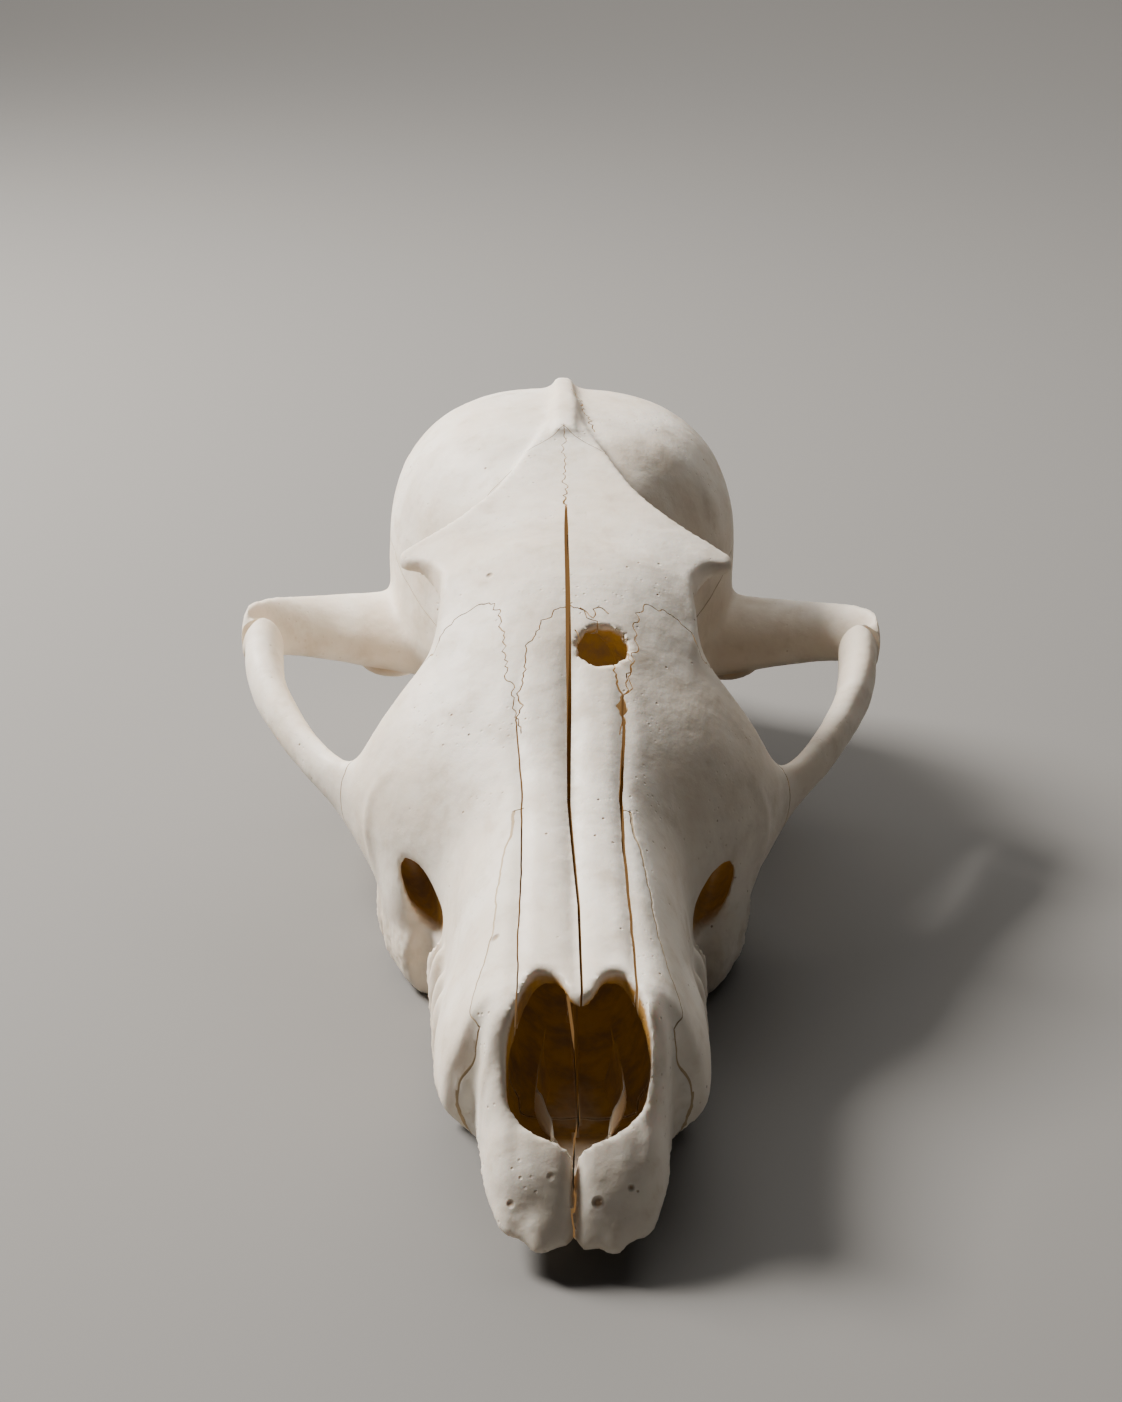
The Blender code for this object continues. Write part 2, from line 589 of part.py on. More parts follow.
def shell_mesh(shell):
    """Points and faces of one connected surface."""
    numbers = {}
    for face in shell:
        for vert in face.verts:
            numbers.setdefault(vert, len(numbers))
    points = [vert.co.copy() for vert in numbers]
    return points, [[numbers[vert] for vert in face.verts] for face in shell]


def add_bone(name, points, faces):
    """Object of one bone, thinned and with its own material."""
    mesh = bpy.data.meshes.new(name)
    mesh.from_pydata(points, [], faces)
    bm = bmesh.new()
    bm.from_mesh(mesh)
    lean = thinned(bm)
    lean.to_mesh(mesh)
    lean.free()
    bm.free()
    mesh.materials.append(bone_material(name + "_bone", BONE, BONE_ROUGH))
    mesh.shade_smooth()
    mesh.set_sharp_from_angle(angle=math.radians(CREASE))
    bone = bpy.data.objects.new(name, mesh)
    bones.objects.link(bone)
    return bone


def anchors():
    """The place inside each bone, by name."""
    places = dict(SINGLE)
    for name, (x, y, z) in PAIRED.items():
        places[name + "_left"] = (x, y, z)
        places[name + "_right"] = (-x, y, z)
    return {name: Vector((x * MM, (y - MID) * MM, z * MM)) for name, (x, y, z) in places.items()}


def holds(tree, place):
    """Whether a closed surface has the place inside it: a ray upward crosses it an odd number of times."""
    up = Vector(SLANT).normalized()
    beyond = up * TINY * MM * 0.03
    crossings = 0
    hit = tree.ray_cast(place, up)[0]
    while hit:
        crossings += 1
        hit = tree.ray_cast(hit + beyond, up)[0]
    return crossings % 2 == 1


def thinned(bm):
    """A closed mesh with its flat stretches as few faces, as flat as leaves it closed."""
    for flat in FLAT:
        lean = bm.copy()
        bmesh.ops.dissolve_degenerate(lean, dist=TINY * MM, edges=lean.edges)
        bmesh.ops.dissolve_limit(lean, angle_limit=math.radians(flat), verts=lean.verts, edges=lean.edges)
        bmesh.ops.triangulate(lean, faces=lean.faces)
        keep_largest(lean)
        if all(edge.is_manifold for edge in lean.edges):
            return lean
        lean.free()
    return bm.copy()


def part_bones(whole):
    """Cut the skull along its sutures and name each piece by the place that lies inside it."""
    for cutter in suture_cutters():
        cut = whole.modifiers.new(cutter.name, "BOOLEAN")
        cut.operation = "DIFFERENCE"
        cut.solver = "MANIFOLD"
        cut.object = cutter
    bm = bmesh.new()
    bm.from_mesh(evaluated_mesh(whole))
    bmesh.ops.triangulate(bm, faces=bm.faces)
    places = anchors()
    for shell in sorted(shells(bm), key=len, reverse=True):
        points, faces = shell_mesh(shell)
        tree = BVHTree.FromPolygons(points, faces)
        inside = [name for name, place in places.items() if holds(tree, place)]
        if inside:
            add_bone(inside[0], points, faces)
            del places[inside[0]]
    bm.free()


def upright_plate(name, path, foot, top, bulge, colour):
    """Thin plate of the nasal cavity that stands on a path seen from above and bulges to a side."""
    bm = bmesh.new()
    rows = []
    for share in PLATE_ROWS:
        aside = bulge * math.sin(0.75 * math.pi * share)
        spots = [(x + aside, y - MID, foot(y) + (top(y) - foot(y)) * share) for x, y in path]
        rows.append([bm.verts.new(Vector(spot) * MM) for spot in spots])
    for row, following in zip(rows, rows[1:]):
        for i in range(len(path) - 1):
            bm.faces.new((row[i], row[i + 1], following[i + 1], following[i]))
    mesh = bpy.data.meshes.new(name)
    bm.to_mesh(mesh)
    bm.free()
    mesh.materials.append(bone_material(name + "_bone", colour, PLATE_ROUGH))
    plate = bpy.data.objects.new(name, mesh)
    thick = plate.modifiers.new("Thickness", "SOLIDIFY")
    thick.thickness = PLATE * MM
    thick.offset = 0.0
    bones.objects.link(plate)


def inner_plates():
    """The septum on the midline and the curled plate on each side of it."""
    def septum_foot(_):
        return CAVITY_FLOOR + SUTURE

    def septum_top(y):
        return level(SEPTUM_TOP, y)

    def curl_foot(y):
        return level(CURL_FOOT, y)

    def curl_top(y):
        return level(CURL_TOP, y)

    septum = walk([(CAVITY_MID, 16), (CAVITY_MID, 56)])
    upright_plate("nasal_septum", septum, septum_foot, septum_top, 0.0, AMBER)
    for side, word in ((1, "left"), (-1, "right")):
        path = walk([(side * aside + CAVITY_MID, y) for aside, y in ((1.9, 7.6), (3.1, 12), (2.5, 20))])
        upright_plate("turbinate_" + word, path, curl_foot, curl_top, side * CURL_BULGE, BONE)


for thing in list(bpy.data.objects):
    bpy.data.objects.remove(thing)
bones = bpy.data.collections.new("fox_skull")
cutters = bpy.data.collections.new("cutters")
for group in (bones, cutters):
    bpy.context.scene.collection.children.link(group)
skull_whole = skull_mesh()
part_bones(skull_whole)
inner_plates()
skull_whole.hide_render = True
skull_whole.display_type = "WIRE"
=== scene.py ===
"""Red fox skull without the lower jaw, dressed as dry bone on a pale studio floor.

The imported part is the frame: the nose points along -Y, the skull's left side is +X and the floor
is z = 0. Every bone of the part is shown by a finer bone of the same name. Bone has no straight
edge and no even wall, so the skull is given as one distance field, in millimetres, and parted
along its serrated sutures. The thin plates inside the nose are modelled as meshes.
"""

import functools
import json
import logging
import math
from collections.abc import Callable, Sequence
from dataclasses import dataclass
from enum import Enum

import bmesh
import bpy
from mathutils import Matrix, Vector, noise

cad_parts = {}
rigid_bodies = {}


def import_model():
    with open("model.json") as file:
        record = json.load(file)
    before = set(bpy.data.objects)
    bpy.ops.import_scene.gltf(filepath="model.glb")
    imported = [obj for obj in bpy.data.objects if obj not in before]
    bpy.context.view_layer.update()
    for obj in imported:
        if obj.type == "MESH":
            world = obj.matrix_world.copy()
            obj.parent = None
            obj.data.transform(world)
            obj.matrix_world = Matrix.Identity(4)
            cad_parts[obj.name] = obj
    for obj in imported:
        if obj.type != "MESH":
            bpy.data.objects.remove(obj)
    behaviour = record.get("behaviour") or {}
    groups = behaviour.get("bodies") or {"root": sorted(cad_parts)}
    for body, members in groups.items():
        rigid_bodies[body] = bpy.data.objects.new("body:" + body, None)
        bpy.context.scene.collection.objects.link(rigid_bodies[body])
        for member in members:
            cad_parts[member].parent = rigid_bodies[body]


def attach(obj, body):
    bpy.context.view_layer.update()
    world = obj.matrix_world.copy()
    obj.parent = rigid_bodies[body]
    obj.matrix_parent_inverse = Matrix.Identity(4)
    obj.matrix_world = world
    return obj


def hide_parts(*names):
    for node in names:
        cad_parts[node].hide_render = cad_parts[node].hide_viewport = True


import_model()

MM = 0.001
MID = 73.5  # the frame's origin lies this far behind the front tip
SKY = 60.0  # a height above every bone, in millimetres
LOG = logging.getLogger("fox_skull")

Stations = tuple[tuple[float, float], ...]
Path = Sequence[tuple[float, float]]
Place = tuple[float, float, float]
Colour = tuple[float, float, float]
Widths = Sequence[float] | float
Height = Callable[[float], float] | float
Inputs = dict | Sequence


class Side(Enum):
    """The skull's own left and right."""

    LEFT = 1
    RIGHT = -1

    @property
    def word(self) -> str:
        """The side as it stands in a bone's name."""
        return self.name.lower()


class Fineness(Enum):
    """Spacing, in millimetres, of the samples that the bone is drawn through."""

    TRIAL = 0.8
    FULL = 0.4


def placed(name: str, data: bpy.types.ID) -> bpy.types.Object:
    """Put a mesh, lamp or camera into the scene.

    Args:
        name: Its name.
        data: What it shows.

    Returns:
        The object.
    """
    thing = bpy.data.objects.new(name, data)
    bpy.context.scene.collection.objects.link(thing)
    return thing


def mesh_of(bm: bmesh.types.BMesh, name: str) -> bpy.types.Mesh:
    """Turn a finished bmesh into a mesh.

    Args:
        bm: The bmesh, which is freed.
        name: The mesh's name.

    Returns:
        The mesh.
    """
    mesh = bpy.data.meshes.new(name)
    bm.to_mesh(mesh)
    bm.free()
    return mesh


def enrol(piece: bpy.types.Object, name: str) -> None:
    """Let a piece stand for the bone of its name.

    Args:
        piece: The piece.
        name: The bone's name in the frame.
    """
    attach(piece, "root")
    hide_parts(name)
    name + "_bone"
    LOG.info("%s: %d faces", piece.name, len(piece.data.polygons))


def fresh_material(name: str) -> tuple[bpy.types.Material, bpy.types.Node]:
    """Start a finish.

    Args:
        name: Its name.

    Returns:
        The material and its main shader.
    """
    made = bpy.data.materials.new(name)
    made.use_nodes = True
    return made, made.node_tree.nodes["Principled BSDF"]


@dataclass(eq=False)
class Wire:
    """One output of a node tree; arithmetic on it adds nodes to that tree."""

    bench: "Bench"
    socket: bpy.types.NodeSocket

    def __add__(self, other: "Wire | float") -> "Wire":
        """Sum."""
        return self.bench.maths("ADD", self, other)

    __radd__ = __add__

    def __sub__(self, other: "Wire | float") -> "Wire":
        """Difference."""
        return self.bench.maths("SUBTRACT", self, other)

    def __rsub__(self, other: "Wire | float") -> "Wire":
        """Difference, reflected."""
        return self.bench.maths("SUBTRACT", other, self)

    def __mul__(self, other: "Wire | float") -> "Wire":
        """Product."""
        return self.bench.maths("MULTIPLY", self, other)

    __rmul__ = __mul__

    def __truediv__(self, other: "Wire | float") -> "Wire":
        """Quotient."""
        return self.bench.maths("DIVIDE", self, other)

    def __neg__(self) -> "Wire":
        """Negative."""
        return self.bench.maths("MULTIPLY", self, -1.0)

    def __abs__(self) -> "Wire":
        """Size without sign."""
        return self.bench.maths("ABSOLUTE", self)


@dataclass(eq=False)
class Bench:
    """A node tree, shading or geometry, and the one way in which nodes are added to it."""

    tree: bpy.types.NodeTree

    def node(self, kind: str, settings: dict | None = None, inputs: Inputs = ()) -> bpy.types.Node:
        """Add a node.

        Args:
            kind: The node's type.
            settings: Values set on the node first.
            inputs: Values or wires, by socket name or in order.

        Returns:
            The node.
        """
        made = self.tree.nodes.new(kind)
        for word, value in (settings or {}).items():
            setattr(made, word, value)
        pairs = inputs.items() if isinstance(inputs, dict) else enumerate(inputs)
        for key, value in pairs:
            if isinstance(value, Wire):
                self.tree.links.new(value.socket, made.inputs[key])
            else:
                made.inputs[key].default_value = value
        return made

    def wire(self, kind: str, settings: dict | None = None, inputs: Inputs = (),
            output: int | str = 0) -> Wire:
        """Add a node and take one of its outputs."""
        return Wire(self, self.node(kind, settings, inputs).outputs[output])

    def maths(self, operation: str, *values: Wire | float, clamp: bool = False) -> Wire:
        """Add a Math node; clamp keeps its result within 0 and 1."""
        return self.wire("ShaderNodeMath", {"operation": operation, "use_clamp": clamp}, values)

    def vector(self, operation: str, inputs: Inputs) -> Wire:
        """Add a Vector Math node that gives a vector."""
        return self.wire("ShaderNodeVectorMath", {"operation": operation}, inputs)

    def size(self, vector: Wire) -> Wire:
        """Length of a vector."""
        return self.wire("ShaderNodeVectorMath", {"operation": "LENGTH"}, (vector,), "Value")

    @classmethod
    def group(cls, name: str, takes: Sequence[tuple[str, str]], gives: Sequence[tuple[str, str]]) -> "Bench":
        """Start a geometry group.

        Args:
            name: Its name.
            takes: Name and type of each input.
            gives: Name and type of each output.

        Returns:
            The bench to build it on.
        """
        tree = bpy.data.node_groups.new(name, "GeometryNodeTree")
        for way, sockets in (("INPUT", takes), ("OUTPUT", gives)):
            for word, kind in sockets:
                tree.interface.new_socket(word, in_out=way, socket_type="NodeSocket" + kind)
        return cls(tree)

    def taken(self) -> list[Wire]:
        """The inputs of this group."""
        return [Wire(self, socket) for socket in self.node("NodeGroupInput").outputs if socket.name]

    def call(self, tree: bpy.types.NodeTree, inputs: Sequence, output: int = 0) -> Wire:
        """Add another group to this tree and take one of its outputs."""
        return self.wire("GeometryNodeGroup", {"node_tree": tree}, inputs, output)

    def span(self, value: Wire, start: float, end: float) -> Wire:
        """Smooth step of a value: 0 at start, 1 at end."""
        settings = {"interpolation_type": "SMOOTHSTEP"}
        return self.wire("ShaderNodeMapRange", settings, {"Value": value, "From Min": start, "From Max": end})

    def noise(self, place: Wire, scale: float, detail: float = 2.0, rough: float = 0.5) -> Wire:
        """Cloudy noise between 0 and 1."""
        values = {"Vector": place, "Scale": scale, "Detail": detail, "Roughness": rough}
        return self.wire("ShaderNodeTexNoise", None, values)

    def cells(self, place: Wire, scale: float) -> Wire:
        """Distance to the nearest of many scattered dots."""
        return self.wire("ShaderNodeTexVoronoi", None, {"Vector": place, "Scale": scale}, "Distance")

    def blend(self, share: Wire | float, first: Wire | Colour, second: Wire | Colour) -> Wire:
        """Mix two colours; share tells how much of the second."""
        first, second = ((*tint, 1.0) if isinstance(tint, tuple) else tint for tint in (first, second))
        return self.wire("ShaderNodeMix", {"data_type": "RGBA"}, {0: share, 6: first, 7: second}, 2)


class Carver:
    """Solids as distances in millimetres: each method tells how far a place lies outside a shape."""

    def __init__(self, bench: Bench, place: Wire) -> None:
        """Take the place at which the shapes are read.

        Args:
            bench: The geometry tree.
            place: The place, in metres, in the frame of the part.
        """
        self.bench = bench
        self.place = bench.vector("SCALE", {0: place, "Scale": 1000.0})
        parts = bench.node("ShaderNodeSeparateXYZ", None, (self.place,))
        self.across, along, self.up = (Wire(bench, socket) for socket in parts.outputs)
        self.along = along + MID
        self.shares: dict[tuple, Wire] = {}
        self.out, self.folded = self.across, self.place
        # the upper lines and the skull so far, which the skull's form sets
        self.crown = self.roof = self.solid = self.up

    def fold(self, wander: Wire) -> None:
        """Fold the skull's right side onto its left, about a midline that lies a little to the left."""
        self.out = abs(self.across - wander)
        self.folded = self.bench.wire("ShaderNodeCombineXYZ", None, (self.out, self.along, self.up))

    def add(self, other: Wire, fillet: Wire | float) -> None:
        """Join a solid to the skull so far."""
        self.solid = self.join(self.solid, other, fillet)

    def trim(self, other: Wire, edge: Wire | float) -> None:
        """Keep of the skull so far what a solid shares with it."""
        self.solid = self.meet(self.solid, other, edge)

    def cut(self, other: Wire, edge: Wire | float) -> None:
        """Take a solid out of the skull so far."""
        self.solid = self.carve(self.solid, other, edge)

    def low(self, a: Wire | float, b: Wire | float) -> Wire:
        """The lesser of two."""
        return self.bench.maths("MINIMUM", a, b)

    def high(self, a: Wire | float, b: Wire | float) -> Wire:
        """The greater of two."""
        return self.bench.maths("MAXIMUM", a, b)

    def join(self, a: Wire, b: Wire, fillet: Wire | float) -> Wire:
        """Two solids as one, with a fillet."""
        return self.bench.maths("SMOOTH_MIN", a, b, fillet)

    def meet(self, a: Wire, b: Wire, edge: Wire | float) -> Wire:
        """What two solids share, with a rounded edge."""
        return self.bench.maths("SMOOTH_MAX", a, b, edge)

    def carve(self, a: Wire, b: Wire, edge: Wire | float) -> Wire:
        """The first solid less the second, with a rounded rim."""
        return self.bench.maths("SMOOTH_MAX", a, -b, edge)

    def share(self, value: Wire, span: float) -> Wire:
        """Value over span, kept within 0 and 1."""
        return self.bench.maths("DIVIDE", value, span, clamp=True)

    def length(self, *parts: Wire | float) -> Wire:
        """Length of a vector of two or three parts."""
        return self.bench.size(self.bench.wire("ShaderNodeCombineXYZ", None, parts))

    def oval(self, a: Wire, b: Wire, power: float = 2.0) -> Wire:
        """1 on a superellipse of unit half axes, less inside it.

        Args:
            a: The place over the first half axis.
            b: The place over the second half axis.
            power: 2 gives an ellipse, more a squarer section.

        Returns:
            The reading.
        """
        if power == 2.0:
            return self.length(a, b)
        lifted = [self.bench.maths("POWER", self.high(abs(part), 1e-5), power) for part in (a, b)]
        return self.bench.maths("POWER", lifted[0] + lifted[1], 1.0 / power)

    def curve(self, at: Wire, stations: Stations) -> Wire:
        """A smooth curve through a few stations, level past its ends.

        Args:
            at: Where the curve is read.
            stations: Place and value of each station.

        Returns:
            The value.
        """
        start, end = stations[0][0], stations[-1][0]
        values = [value for _, value in stations]
        least, rise = min(values), (max(values) - min(values)) or 1.0
        node = self.bench.node("ShaderNodeFloatCurve")
        dots = node.mapping.curves[0].points
        node.mapping.extend = "HORIZONTAL"
        node.mapping.use_clip = False
        while len(dots) < len(stations):
            dots.new(0.5, 0.5)
        for dot, (place, value) in zip(dots, stations):
            dot.location = ((place - start) / (end - start), (value - least) / rise)
            dot.handle_type = "AUTO_CLAMPED"
        node.mapping.update()
        key = (at.socket.node.name, at.socket.name, start, end)
        if key not in self.shares:
            self.shares[key] = self.share(at - start, end - start)
        self.bench.tree.links.new(self.shares[key].socket, node.inputs["Value"])
        return self.bench.maths("MULTIPLY_ADD", Wire(self.bench, node.outputs[0]), rise, least)

    def ellipsoid(self, centre: Place, radii: Place, yaw: float = 0.0) -> Wire:
        """Distance to an ellipsoid at a place out from the midline, behind the tip and up, yaw in degrees."""
        return self.bench.call(ellipsoid_group(), (self.folded, centre, radii, math.radians(yaw)))

    def strut(self, along: Wire, across: Wire, up: Wire, ends: tuple[float, float],
            tables: Sequence[Stations], edge: float = 1.0, power: float = 2.0, lean: float = 0.0) -> Wire:
        """A bar along one axis.

        Args:
            along: The place along the bar.
            across: The place across it.
            up: The place up.
            ends: Where it starts and ends.
            tables: Curves of its middle line across and up, and of its half sizes across and up.
            edge: Rounding of its ends.
            power: 2 gives a round section, more a squarer one.
            lean: How far its top leans inward, over its height.

        Returns:
            The distance.
        """
        middle, level, half, tall = (self.curve(along, table) for table in tables)
        rise = up - level
        section = self.oval((across - middle + rise * lean) / half, rise / tall, power)
        body = (section - 1.0) * self.low(half, tall)
        return self.meet(body, self.high(ends[0] - along, along - ends[1]), edge)


@functools.cache
def ellipsoid_group() -> bpy.types.NodeTree:
    """Distance to an ellipsoid, as a group that is built once.

    Returns:
        The group.
    """
    takes = (("Place", "Vector"), ("Centre", "Vector"), ("Radii", "Vector"), ("Turn", "Float"))
    bench = Bench.group("ellipsoid", takes, (("Distance", "Float"),))
    place, centre, radii, turn = bench.taken()
    offset = bench.vector("SUBTRACT", (place, centre))
    values = {"Vector": offset, "Angle": -turn}
    turned = bench.wire("ShaderNodeVectorRotate", {"rotation_type": "Z_AXIS"}, values)
    scaled = bench.vector("DIVIDE", (turned, radii))
    near = bench.size(scaled)
    slope = bench.size(bench.vector("DIVIDE", (scaled, radii)))
    distance = near * (near - 1.0) / bench.maths("MAXIMUM", slope, 0.001)
    bench.node("NodeGroupOutput", None, (distance,))
    return bench.tree


@dataclass(frozen=True)
class SkullForm:
    """The whole skull as one solid; stations give the distance behind the front tip and a size."""

    brain_half: float = 22.8
    arch_half: float = 39.6
    cavity_floor: float = 7.5
    dorsal: Stations = ((0, 4), (4, 9), (8, 13), (11, 17.5), (13, 21.4), (20, 22.8), (30, 25), (40, 27.8),
        (50, 31.6), (58, 35.8), (66, 40.2), (74, 43.2), (92, 46.8), (108, 50.7), (116, 51.3), (128, 50.1),
        (138, 46.4), (146, 41))
    orbits: tuple[tuple[Place, Place, float], ...] = (
        ((31, 79.6, 28.4), (20, 17, 16.6), 1.5), ((29, 90, 20), (17, 17, 22), 2.5))
    nasal_edge: Stations = ((10, 5.6), (14, 5.6), (22, 5.5), (32, 5.2), (44, 5.1), (52, 5.7), (61, 4.7),
        (65, 2.5))
    sockets: tuple[tuple[float, ...], ...] = (
        (1.7, 2.3, 0.8, 0.8, 1.0, 1.6), (4.6, 3.0, 1.0, 0.9, 1.1, 1.7), (7.2, 6.2, 1.4, 0.9, 1.3, 2.0),
        (10.2, 18.0, 6.6, 1.8, 3.0, 6.0), (10.3, 25.8, 3.6, 0.9, 1.2, 2.6), (10.7, 31.2, 2.6, 0.9, 1.3, 3.0),
        (10.9, 35.2, 2.1, 0.9, 1.3, 3.0), (11.3, 40.5, 1.4, 1.0, 1.4, 3.2), (11.6, 44.8, 1.0, 1.0, 1.4, 3.2),
        (14.6, 53.2, 0.4, 1.1, 1.2, 3.4), (16.9, 57.0, 0.0, 1.3, 1.7, 3.6), (17.9, 61.4, 0.0, 1.2, 1.4, 3.4),
        (17.7, 65.4, 0.0, 1.2, 1.4, 3.4), (13.2, 63.2, 0.4, 1.3, 1.5, 3.0), (15.6, 69.8, 0.0, 1.0, 1.2, 2.8),
        (14.0, 73.4, 0.0, 0.9, 1.1, 2.6))

    def muzzle(self, c: Carver) -> None:
        """Face from the front tip to the orbits, with the bulge that carries the cheek arch.

        Args:
            c: The carver.
        """
        x, y, z = c.out, c.along, c.up
        low_half = c.curve(y, ((0, 8.8), (13.4, 9.3), (15.2, 12.4), (18, 13.1), (24, 13.2), (32, 13.2),
            (40, 13.4), (48, 13.8), (56, 15.2), (64, 16.2), (70, 15.2), (76, 12.6), (81, 10.4)))
        high_half = c.curve(y, ((0, 6.6), (6, 7.4), (12, 7.9), (16, 8.6), (26, 8.0), (40, 8.2), (50, 10),
            (58, 12.2), (66, 14), (76, 14)))
        share = c.bench.maths("DIVIDE", z - 5, c.high(c.crown - 5, 8), clamp=True)
        side = (x - low_half - (high_half - low_half) * share * share) * 0.93
        c.solid = c.meet(side, z - c.roof, c.curve(y, ((12, 5), (30, 6), (54, 10), (70, 8))))
        c.add(c.ellipsoid((9.5, 66, 18), (14.5, 19, 15), yaw=-10), 9)
        keel = c.curve(y, ((0, 2.3), (8, 3.0), (14, 4.8), (20, 4.8), (28, 3.2), (40, 1.6), (56, 0.3),
            (80, 0.6)))
        rounding = 0.008 * x * x * c.share(16 - y, 6)
        c.trim(keel + rounding - z, 2)
        rim = (4.9 + 0.9 * (x - 8.8) - 0.55 * c.high(y - 18, 0.0) - z) * 0.7
        c.trim(rim, 1)
        ahead = c.low(y - 12 - 0.5 * (z - 3), 0.0) / 12
        front = (c.oval(x / 9.2, ahead, 3.0) - 1.0) * 9.2 - 1.5 * c.high(y - 11, 0.0)
        c.trim(front * 0.8, 1.2)
        c.trim(y - 80, 6)

    def brain_case(self, c: Carver) -> Wire:
        """Brain case and the narrow part before it, as one run of rounded sections.

        Args:
            c: The carver.

        Returns:
            The distance.
        """
        x, y, z = c.out, c.along, c.up
        half = c.curve(y, ((62, 7), (70, 9.5), (86, 11.2), (92, 12.2), (98, 15.6), (104, 19.2), (110, 21.6),
            (119, self.brain_half), (128, 21.4), (134, 19.4), (140, 16.8), (146, 13)))
        over = c.curve(y, ((62, 36), (70, 38), (86, 42), (92, 44.2), (100, 47.6), (108, 50.2), (116, 50.8),
            (122, 50.6), (128, 49.4), (134, 47.2), (142, 42.4), (146, 38)))
        under = c.curve(y, ((62, 7), (78, 8), (104, 8), (130, 8.5), (142, 12)))
        middle, tall = (over + under) * 0.5, (over - under) * 0.5
        half = half - 0.22 * c.high(22 - z, 0.0)
        body = (c.oval(x / half, (z - middle) / tall, 2.6) - 1.0) * c.low(half, tall) * 0.9
        back = (y - 141.5) + 0.12 * (30 - z)
        return c.meet(body, c.high(66 - y, back), 5)

    def brow_plate(self, c: Carver) -> Wire:
        """Flat roof of the frontals, out to the processes behind the orbits.

        Args:
            c: The carver.

        Returns:
            The distance.
        """
        x, y, z = c.out, c.along, c.up
        half = c.curve(y, ((52, 7), (58, 10.6), (64, 13.6), (70, 14.6), (75, 14.3), (78, 15.2), (79.8, 16.9),
            (81.2, 19.1), (82.2, 19.5), (83.2, 18.2), (85, 14.8), (88.3, 11.2), (92, 8.7), (96, 6.8),
            (100.5, 4.8), (105, 2.6), (109, 1.3), (114, 0.9)))
        thick = c.curve(y, ((52, 3), (74, 2.2), (79, 1.4), (82, 0.8), (86, 1.6), (92, 2.2), (110, 2)))
        sunk = c.curve(y, ((52, 2), (62, 0.5), (72, 0.2)))
        plate = c.meet((x - half) * 0.8, abs(z - (c.roof - sunk - thick)) - thick, 0.9)
        return c.meet(c.high(plate, 53 - y), y - 114, 2)

    def cheek_arch(self, c: Carver) -> None:
        """Jugal bar and the squamosal bar that meets it from behind.

        Args:
            c: The carver.
        """
        x, y, z = c.out, c.along, c.up
        jugal = c.strut(y, x, z, (58, 97.5), (
            ((58, 18.6), (66, 24.8), (74, 30.1), (82, 34), (86, 35.5), (90, 36.4), (97.5, 37.2)),
            ((58, 16), (66, 18), (74, 19.7), (82, 21.4), (90, 23.2), (97.5, 24.8)),
            ((58, 2.8), (66, 2.1), (74, 2), (82, 2.2), (97.5, 2.3)),
            ((58, 5), (66, 3.4), (72, 2.8), (78, 2.8), (84, 3.2), (90, 3.4), (97.5, 3))), lean=-0.15)
        squamosal = c.strut(x, y, z, (14, self.arch_half), (
            ((14, 111), (24, 110), (31, 107.5), (36, 103.8), (38.4, 100), (39.4, 98)),
            ((14, 20.6), (24, 21.4), (34, 23.4), (39.4, 25.4)),
            ((14, 7), (24, 5.8), (32, 3.8), (39.4, 2.6)),
            ((14, 5), (24, 4.1), (32, 3.4), (39.4, 3))), lean=-0.5)
        c.add(jugal, 4)
        c.cut(c.ellipsoid((24.2, 74.2, 22), (3, 5.6, 9), yaw=-28), 2.4)
        c.add(c.ellipsoid((22, 115.2, 17), (5.5, 1.8, 4.2), yaw=-12), 1.5)
        c.add(squamosal, 2.5)

    def hind_parts(self, c: Carver) -> None:
        """Crests, condyles, ear capsules, base and wing plates.

        Args:
            c: The carver.
        """
        x, y, z = c.out, c.along, c.up
        crest = c.meet(x - 0.8, abs(z - (c.crown - 1.2)) - 1.8, 1)
        c.add(c.high(crest, c.high(104 - y, y - 143)), 3.6)
        lean = y - c.curve(x, ((0, 142.5), (8, 141.5), (14, 138), (19, 131), (23, 124)))
        ring = (c.oval(x / 21.5, (z - 20) / 25.5, 1.8) - 1.0) * 21.5
        flange = c.meet(c.meet(abs(lean) - 1.2, ring, 1.4), 13 - z, 5)
        c.add(flange, 3)
        c.add(c.ellipsoid((6.8, 142, 13), (4, 5.4, 6.4), yaw=-20), 1.5)
        c.add(c.ellipsoid((11.2, 117, 7.6), (7.2, 10.4, 7.7), yaw=12), 1)
        c.cut(c.ellipsoid((20.5, 114, 12), (3.6, 2, 2)), 0.8)
        horn = c.strut(z, x, y, (1, 18), (
            ((0, 15.2), (18, 13.4)), ((0, 131), (18, 129)),
            ((0, 1.2), (6, 2.2), (14, 4), (18, 3)), ((0, 1.3), (6, 2), (18, 4))), edge=0.6)
        c.add(horn, 1.5)
        base = c.strut(y, x, z, (86, 144), (
            ((86, 0), (144, 0)), ((86, 10), (144, 11.5)),
            ((86, 5), (104, 8), (144, 8)), ((86, 2.4), (110, 3.2), (144, 3.6))), edge=2, power=3)
        c.add(base, 3)
        wing = c.strut(y, x, z, (68, 100), (
            ((68, 9), (80, 7), (92, 6.4), (100, 7.2)), ((68, 8), (84, 9), (94, 8.4), (100, 6)),
            ((68, 2.6), (80, 1.5), (90, 1), (100, 0.8)),
            ((68, 6), (84, 6.4), (94, 5), (100, 2))), edge=1.5, power=3)
        c.add(wing, 2.5)
        spine = c.meet(x - 0.7, c.oval((y - 141) / 4, (z - 34) / 12) * 4 - 4, 1)
        c.add(c.high(spine, 26 - z), 2.5)

